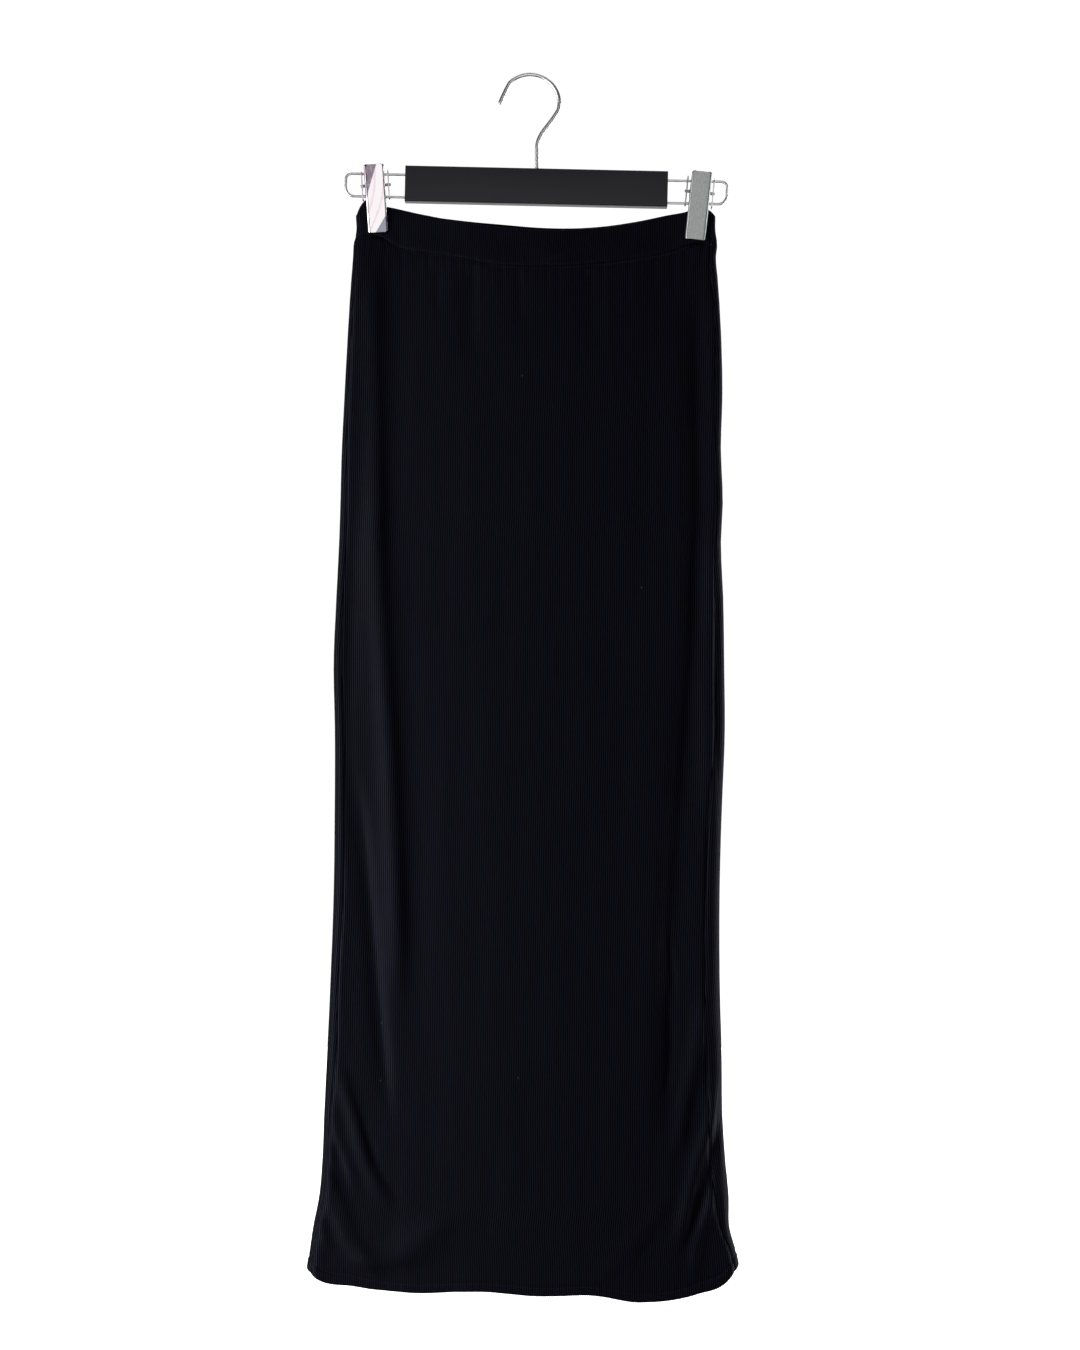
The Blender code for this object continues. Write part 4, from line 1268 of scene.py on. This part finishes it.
bar_end = BAR_SIZE[0] / 2
for sign in (-1, 1):
    for height in (LOOP_TOP, LOOP_BOTTOM):
        path = [(sign * reach, 0, height)
                for reach in (bar_end - SOCKET_DEPTH, bar_end, bar_end + DRILL_OVERRUN)]
        drill(bar, placed(path, HANGER_CENTRE, HANGER_TILT), WIRE_DIAMETER / 2 + RUNNING_GAP)
bar_top = HANGER_CENTRE[2] + BAR_SIZE[2] / 2
path = [(HOOK_STEM, 0, height)
        for height in (bar_top - SOCKET_DEPTH, bar_top, bar_top + HOOK_DRILL_OVERRUN)]
drill(bar, path, HOOK_DIAMETER / 2 + RUNNING_GAP)
bar.data.shade_smooth()
bar.data.set_sharp_from_angle(angle=math.radians(32))
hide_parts("hanger_bar")
print("bar with its sockets:", len(bar.data.polygons), "faces")

# %% [markdown]
# ## Hook and loops
#
# Both are round wire bent in one plane, so each is a circle carried along a path of arcs and an
# easy curve. The hook opens to the left, and its stem bends back over the middle of the bar.

# %% The hook
SOCKET_END_GAP = 0.3
HOOK_RADIUS = 26.6
CROOK_START = 130
CROOK_END = -12
TIP_HEIGHTS = (-24.6, -17.0, -9.5, -6.2)
TIP_PLACES = (-27.5, -24.2, -20.5, -18.7)
NECK_HEIGHTS = (-84.0, -70.0, -62.0, -54.0, -43.5, -36.0)
NECK_PLACES = (HOOK_STEM, HOOK_STEM, 6.6, 9.4, 16.8, 22.4)


def arc_points(centre, radius, start, end, count):
    """Points along an arc in the XZ plane, with its angles in degrees from +X towards +Z."""
    turn = np.radians(np.linspace(start, end, count))
    return np.stack([centre[0] + radius * np.cos(turn), 0 * turn,
                     centre[1] + radius * np.sin(turn)], axis=-1)


def hook_path():
    """The nearly straight tip, the crook's arc, a smooth reverse bend and the stem in the bar."""
    crook = arc_points((0.0, HOOK_DIAMETER / 2 - HOOK_RADIUS), HOOK_RADIUS, CROOK_START, CROOK_END, 54)
    first, last = crook[0], crook[-1]
    rise = np.linspace(TIP_HEIGHTS[0], first[2], 16)[:-1]
    run = smooth_curve(np.array([*TIP_HEIGHTS, first[2]]), np.array([*TIP_PLACES, first[0]]), rise)
    tip = np.stack([run, 0 * run, rise], axis=-1)
    down = np.linspace(last[2], NECK_HEIGHTS[0], 44)[1:]
    run = smooth_curve(np.array([*NECK_HEIGHTS, last[2]]), np.array([*NECK_PLACES, last[0]]), down)
    neck = np.stack([run, 0 * down, down], axis=-1)
    foot = (HOOK_STEM, 0.0, bar_top - SOCKET_DEPTH + SOCKET_END_GAP)
    return np.concatenate([tip, crook, neck, [foot]])


rings, faces = tube_mesh(hook_path(), HOOK_DIAMETER / 2, sides=20)
hook = mesh_object("hook", rings, faces, plated_wire, merge=True, turned=True)
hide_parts("hanger_hook")

# %% The two wire loops
LOOP_REACH = 173.6
UPPER_CORNER = 5.5
LOWER_CORNER = 8.0


def loop_path():
    """The right loop: out of the upper socket, round two corners and back into the lower one."""
    foot = bar_end - SOCKET_DEPTH + SOCKET_END_GAP
    out = np.linspace(foot, LOOP_REACH - UPPER_CORNER, 12)[:-1]
    upper = arc_points((LOOP_REACH - UPPER_CORNER, LOOP_TOP - UPPER_CORNER), UPPER_CORNER, 90, 0, 10)
    lower = arc_points((LOOP_REACH - LOWER_CORNER, LOOP_BOTTOM + LOWER_CORNER), LOWER_CORNER,
                       0, -90, 12)
    back = np.linspace(foot, LOOP_REACH - LOWER_CORNER, 12)[:-1][::-1]
    return np.concatenate([np.column_stack([out, 0 * out, 0 * out + LOOP_TOP]), upper, lower,
                           np.column_stack([back, 0 * back, 0 * back + LOOP_BOTTOM])])


for side, sign in (("left", -1), ("right", 1)):
    path = placed(loop_path() * (sign, 1, 1), HANGER_CENTRE, HANGER_TILT)
    rings, faces = tube_mesh(path, WIRE_DIAMETER / 2)
    loop = mesh_object(f"loop_{side}", rings, faces, plated_wire, merge=True, turned=True)
    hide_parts(f"hanger_loop_{side}")

# %% [markdown]
# ## Clips
#
# Each clip is two pressed plates that turn on a pin, held shut by a coil spring. A plate is a flat
# strip with rolled long edges, shallow flanges and a round ear on each side at the pin. The grid
# gives its middle surface and Solidify its thickness. The jaw pads are ribbed wedges, and the
# spring is a real coil with a leg under each plate.

# %% A pressed plate as a grid
ABOVE_PIN = 16.4
BELOW_PIN = 43.8
PLATE_WALL = 1.0
PLATE_WIDTHS = {"front": 18.5, "back": 15.6}
PLATE_ROLL = 1.6
END_CORNER = 1.5
PLATE_SPREAD = math.radians(6.5)
FLANGE_DEPTH = 2.6
JAW_ROOM = 4.4
EAR_RADIUS = 5.0
EAR_RUN = 4.0
CLOTH_FACE = 2.9
TOUCH_GAP = 0.3


def plate_gap(height):
    """Half the room between the two plates' inner faces, at a height from the pin."""
    return JAW_ROOM + (height + BELOW_PIN) * math.tan(PLATE_SPREAD)


def plate_grid(face):
    """The middle surface of a pressed plate: rows up its length, columns round its section."""
    low, high = -BELOW_PIN, ABOVE_PIN
    rows = np.unique(np.round(np.concatenate([
        low + np.linspace(0, END_CORNER, 6), np.linspace(low + END_CORNER, -EAR_RADIUS - EAR_RUN, 16),
        np.linspace(-EAR_RADIUS - EAR_RUN, EAR_RADIUS + EAR_RUN, 29),
        high - np.linspace(0, END_CORNER, 6)]), 4))
    middle = plate_gap(rows) + PLATE_WALL / 2
    from_end = np.minimum(np.minimum(rows - low, high - rows), END_CORNER)
    corner_less = END_CORNER - np.sqrt(END_CORNER ** 2 - (END_CORNER - from_end) ** 2)
    half = PLATE_WIDTHS[face] / 2 - PLATE_WALL / 2 - corner_less
    shallow = np.minimum(FLANGE_DEPTH, middle - CLOTH_FACE - TOUCH_GAP)
    ear = middle + np.sqrt(np.maximum(EAR_RADIUS ** 2 - rows ** 2, 0.0))
    run = np.clip((np.abs(rows) - EAR_RADIUS) / EAR_RUN, 0, 1)
    edge = np.where(np.abs(rows) <= EAR_RADIUS, ear, middle + (shallow - middle) * run)
    turn = np.radians(np.linspace(90, 0, 7))
    flat = np.linspace(0, 1, 7)[:-1]
    flank = np.linspace(0, 1, 5)[1:]
    across = np.concatenate([
        flat[None, :] * (half - PLATE_ROLL)[:, None],
        (half - PLATE_ROLL)[:, None] + PLATE_ROLL * np.cos(turn)[None, :],
        np.repeat(half[:, None], len(flank), axis=1)], axis=1)
    inward = np.concatenate([
        np.zeros((len(rows), len(flat))),
        np.repeat((PLATE_ROLL - PLATE_ROLL * np.sin(turn))[None, :], len(rows), axis=0),
        PLATE_ROLL + flank[None, :] * (edge - PLATE_ROLL)[:, None]], axis=1)
    across = np.concatenate([-across[:, :0:-1], across], axis=1)
    inward = np.concatenate([inward[:, :0:-1], inward], axis=1)
    toward = 1.0 if face == "front" else -1.0
    return np.stack([across, toward * (inward - middle[:, None]), rows[:, None] + 0 * across],
                    axis=-1)


print("grid of a front plate:", plate_grid("front").shape[:2])

# %% A plate with its thickness
EDGE_SOFTNESS = 0.25 * MM


def make_plate(name, face, material, place_clip):
    """One plate with its thickness and softened edges."""
    grid = plate_grid(face)
    faces = grid_faces(*grid.shape[:2])
    if face == "back":
        faces = faces[:, ::-1]
    plate = mesh_object(name, place_clip(grid), faces.tolist(), material)
    wall = plate.modifiers.new("wall", "SOLIDIFY")
    wall.thickness = PLATE_WALL * MM
    wall.offset = 0.0
    wall.use_even_offset = True
    soften = plate.modifiers.new("soft_edges", "BEVEL")
    soften.width = EDGE_SOFTNESS
    soften.segments = 2
    soften.limit_method = "ANGLE"
    soften.angle_limit = math.radians(50)
    return plate


print("plates are", PLATE_WALL, "mm thick")

# %% A jaw pad
PAD_HEIGHT = 15.0
PAD_ABOVE_JAW = 1.6
PAD_INSET = 2.8
PAD_RIB_PITCH = 3.0
PAD_RIB_RISE = 0.5


def make_pad(name, face, place_clip):
    """A jaw pad: a wedge that fills the room to the plate, with cross ribs on its cloth side."""
    low = -BELOW_PIN + PAD_ABOVE_JAW
    rows = np.linspace(0, PAD_HEIGHT, 31)
    width = PLATE_WIDTHS[face] / 2 - PAD_INSET
    rib = PAD_RIB_RISE * (1 - np.cos(2 * math.pi * rows / PAD_RIB_PITCH)) / 2
    near = CLOTH_FACE + TOUCH_GAP + rib
    far = plate_gap(low + rows) - TOUCH_GAP
    across = np.array([-width, width, width, -width])
    depth = np.stack([near, near, far, far], axis=-1)
    toward = -1.0 if face == "front" else 1.0
    grid = np.stack([across[None, :] + 0 * depth, toward * depth, (low + rows)[:, None] + 0 * depth],
                    axis=-1)
    return mesh_object(name, place_clip(grid), capped_faces(len(rows), 4), milky_rubber,
                       sharp=40, turned=True)


print("ribs on a jaw pad:", round(PAD_HEIGHT / PAD_RIB_PITCH))

# %% A spring and a pin
PIN_RADIUS = 1.4
PIN_LENGTH = 26.4
SPRING_RADIUS = 2.85
SPRING_WIRE = 0.5
SPRING_TURNS = 8
SPRING_REACH = 4.6
SPRING_LEG = (0.0, -1.6, 11.0)
SPRING_SIDES = 8


def spring_path():
    """A helix round the pin with a straight leg at each end, up under the plates."""
    turn = np.linspace(0, 2 * math.pi * SPRING_TURNS, 24 * SPRING_TURNS + 1)
    x = np.linspace(-SPRING_REACH, SPRING_REACH, len(turn))
    coil = np.stack([x, -SPRING_RADIUS * np.cos(turn), SPRING_RADIUS * np.sin(turn)], axis=-1)
    leg = np.linspace(1, 0, 7)[:-1, None]
    first = coil[0] + leg * SPRING_LEG * np.array([1, 1, -1])
    last = coil[-1] + leg[::-1] * SPRING_LEG
    return np.concatenate([first, coil, last])


def make_spring(name, place_clip):
    """The coil spring, as a tube on its helix."""
    path = spring_path()
    along = unit(np.gradient(path, axis=0))
    side = unit(np.cross(along, [1.0, 0.0, 0.0]))
    rings = rings_about(path, side, np.cross(along, side), SPRING_WIRE, SPRING_SIDES)
    return mesh_object(name, place_clip(rings), capped_faces(len(path), SPRING_SIDES), plated_wire,
                       turned=True)


def make_pin(name, place_clip):
    """The pin: a rod with a low domed head at each end."""
    along = np.linspace(-PIN_LENGTH / 2, PIN_LENGTH / 2, 9)
    rings, faces = tube_mesh(np.column_stack([along, 0 * along, 0 * along]), PIN_RADIUS, sides=24)
    return mesh_object(name, place_clip(rings), faces, brushed, merge=True, turned=True)


print("points along a spring:", len(spring_path()))

# %% Both clips in their places
CLIP_PLACES = {"left": -146.4, "right": 148.8}
CLIP_LEAN = math.radians(4.65)

for side, sign in (("left", -1), ("right", 1)):
    def place_clip(points, side=side, sign=sign):
        """Points from the pin's middle, leaned with the clip and moved to its loop."""
        spot = (CLIP_PLACES[side], 0.0, (LOOP_TOP + LOOP_BOTTOM) / 2)
        return placed(placed(points, spot, sign * CLIP_LEAN), HANGER_CENTRE, HANGER_TILT)

    pivot, beside = Vector(place_clip((0, 0, 0))), Vector(place_clip((1, 0, 0)))
    turn = math.atan2(pivot.z - beside.z, beside.x - pivot.x)
    if side == "left":
        metal, slot = polished_material(pivot * MM, turn), "chrome"
    else:
        metal, slot = brushed, "steel"
    for face in ("front", "back"):
        plate = make_plate(f"{side}_clip_{face}_plate", face, metal, place_clip)
        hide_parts(f"clip_{side}_{face}_plate")
        pad = make_pad(f"{side}_clip_{face}_pad", face, place_clip)
        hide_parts(f"clip_{side}_{face}_pad")
    spring = make_spring(f"{side}_clip_spring", place_clip)
    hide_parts(f"clip_{side}_spring")
    pin = make_pin(f"{side}_clip_pin", place_clip)
    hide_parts(f"clip_{side}_pin")
    for position in ("inner", "outer"):
        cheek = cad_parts[f"clip_{side}_{position}_cheek"]
        cheek.data.materials.clear()
        cheek.data.materials.append(brushed if (side, position) == ("right", "inner") else plated_wire)

# %% [markdown]
# ## Floor, backdrop and light
#
# The picture is a cut-out on white, so the world and the floor are white to the eye and send the
# cloth hardly any light. A key light from the left front gives the ribs their shine, and a wide
# panel in front fills the rest and is mirrored by the plates. Tall lights level with or behind the
# cloth trace its rolled left and right edges, and the hanger is lit from the back and from above.

# %% Floor
FLOOR_LEVEL = -1.26
FLOOR_SIZE = 3.0
FLOOR_STEPS = 9
FLOOR_GLOW = 1.1


def floor_material():
    """A pale floor that glows, so that it looks white and needs no light."""
    material, tree, shader, place = new_material("pale_floor", roughness=0.9,
                                                 Emission_Color=(1.0, 1.0, 1.0, 1.0),
                                                 Emission_Strength=FLOOR_GLOW)
    cloud = noise(tree, place, 3.0)
    feed(tree, shader,
         Base_Color=ramp(tree, cloud, (0.3, (0.86, 0.86, 0.86)), (0.7, (0.90, 0.90, 0.90))))
    return material


floor_mesh = bpy.data.meshes.new("floor")
spread = np.linspace(-FLOOR_SIZE, FLOOR_SIZE, FLOOR_STEPS)
gx, gy = np.meshgrid(spread, spread[::-1])
floor_points = np.stack([gx, gy, np.full_like(gx, FLOOR_LEVEL)], axis=-1).reshape(-1, 3)
floor_mesh.from_pydata(floor_points.tolist(), [], grid_faces(FLOOR_STEPS, FLOOR_STEPS).tolist())
floor_mesh.materials.append(floor_material())
floor = add_object("floor", floor_mesh)
for sight in ("visible_diffuse", "visible_glossy", "visible_shadow"):
    setattr(floor, sight, False)
print("floor at", FLOOR_LEVEL, "m")

# %% World and lights
WORLD_LIGHT = 0.06
WORLD_SEEN = 1.05
WHITE = (1.0, 1.0, 1.0)
Light = namedtuple("Light", "name location target size power colour")
LIGHTS = [
    Light("left_light", (-1.7, -0.1, -0.5), (0, 0, -0.6), (0.8, 2.0), 7, (1.0, 0.98, 0.96)),
    Light("right_light", (1.7, 0.25, -0.7), (0, 0, -0.75), (0.8, 2.2), 28, (0.97, 0.98, 1.0)),
    Light("front_light", (0.12, -2.0, -1.0), (0.05, 0, -1.05), (1.3, 3.0), 13.6, (1.0, 0.99, 0.99)),
    Light("key_light", (-1.85, -1.0, -1.05), (0, 0, -0.95), (0.8, 2.5), 50, (1.0, 0.99, 0.99)),
    Light("back_light", (0.0, 2.0, -0.6), (0, 0, -0.6), (3.0, 2.6), 44, WHITE),
    Light("top_light", (0, 0.2, 1.6), (0, 0, -1.0), (2.2, 2.2), 16, WHITE),
]


def studio_world():
    """White to the eye; as light, a dim and even surround."""
    world = bpy.data.worlds.new("studio")
    bpy.context.scene.world = world
    world.use_nodes = True
    tree = world.node_tree
    tree.nodes.clear()
    light, seen = add_node(tree, "Background"), add_node(tree, "Background")
    feed(tree, light, Color=(0.97, 0.98, 1.0, 1.0), Strength=WORLD_LIGHT)
    feed(tree, seen, Color=(*WHITE, 1.0), Strength=WORLD_SEEN)
    mix = add_node(tree, "MixShader")
    sources = (add_node(tree, "LightPath").outputs["Is Camera Ray"], light.outputs[0], seen.outputs[0])
    for source, socket in zip(sources, mix.inputs):
        join(tree, source, socket)
    feed(tree, add_node(tree, "OutputWorld"), Surface=mix.outputs[0])


def soft_light(light):
    """A rectangular light that faces its target and isn't seen itself."""
    data = bpy.data.lights.new(light.name, "AREA")
    data.shape = "RECTANGLE"
    data.size, data.size_y = light.size
    data.energy = light.power
    data.color = light.colour
    lamp = add_object(light.name, data)
    lamp.location = light.location
    lamp.visible_camera = False
    facing = Vector(light.target) - Vector(light.location)
    lamp.rotation_euler = facing.to_track_quat("-Z", "Y").to_euler()


studio_world()
for light in LIGHTS:
    soft_light(light)
bpy.context.scene.view_settings.view_transform = "Standard"
print("lights:", ", ".join(f"{light.name} {light.power} W" for light in LIGHTS))

# %% [markdown]
# ## Cloth in place of the solids
#
# The cloth pieces stand for the solids of the same form, which are hidden. The flat size and area
# of each panel are listed: the panels are cut a little wider at the hem than at the waist.

# %% Sheets, sizes and the end
Sheet = namedtuple("Sheet", "flat area")
PANEL_SHEETS = {"front": Sheet((0.41, 0.95), 0.34), "back": Sheet((0.43, 0.95), 0.38)}
for face, cut in PANEL_SHEETS.items():
    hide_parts(f"{face}_panel")
    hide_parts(f"waistband_{face}")
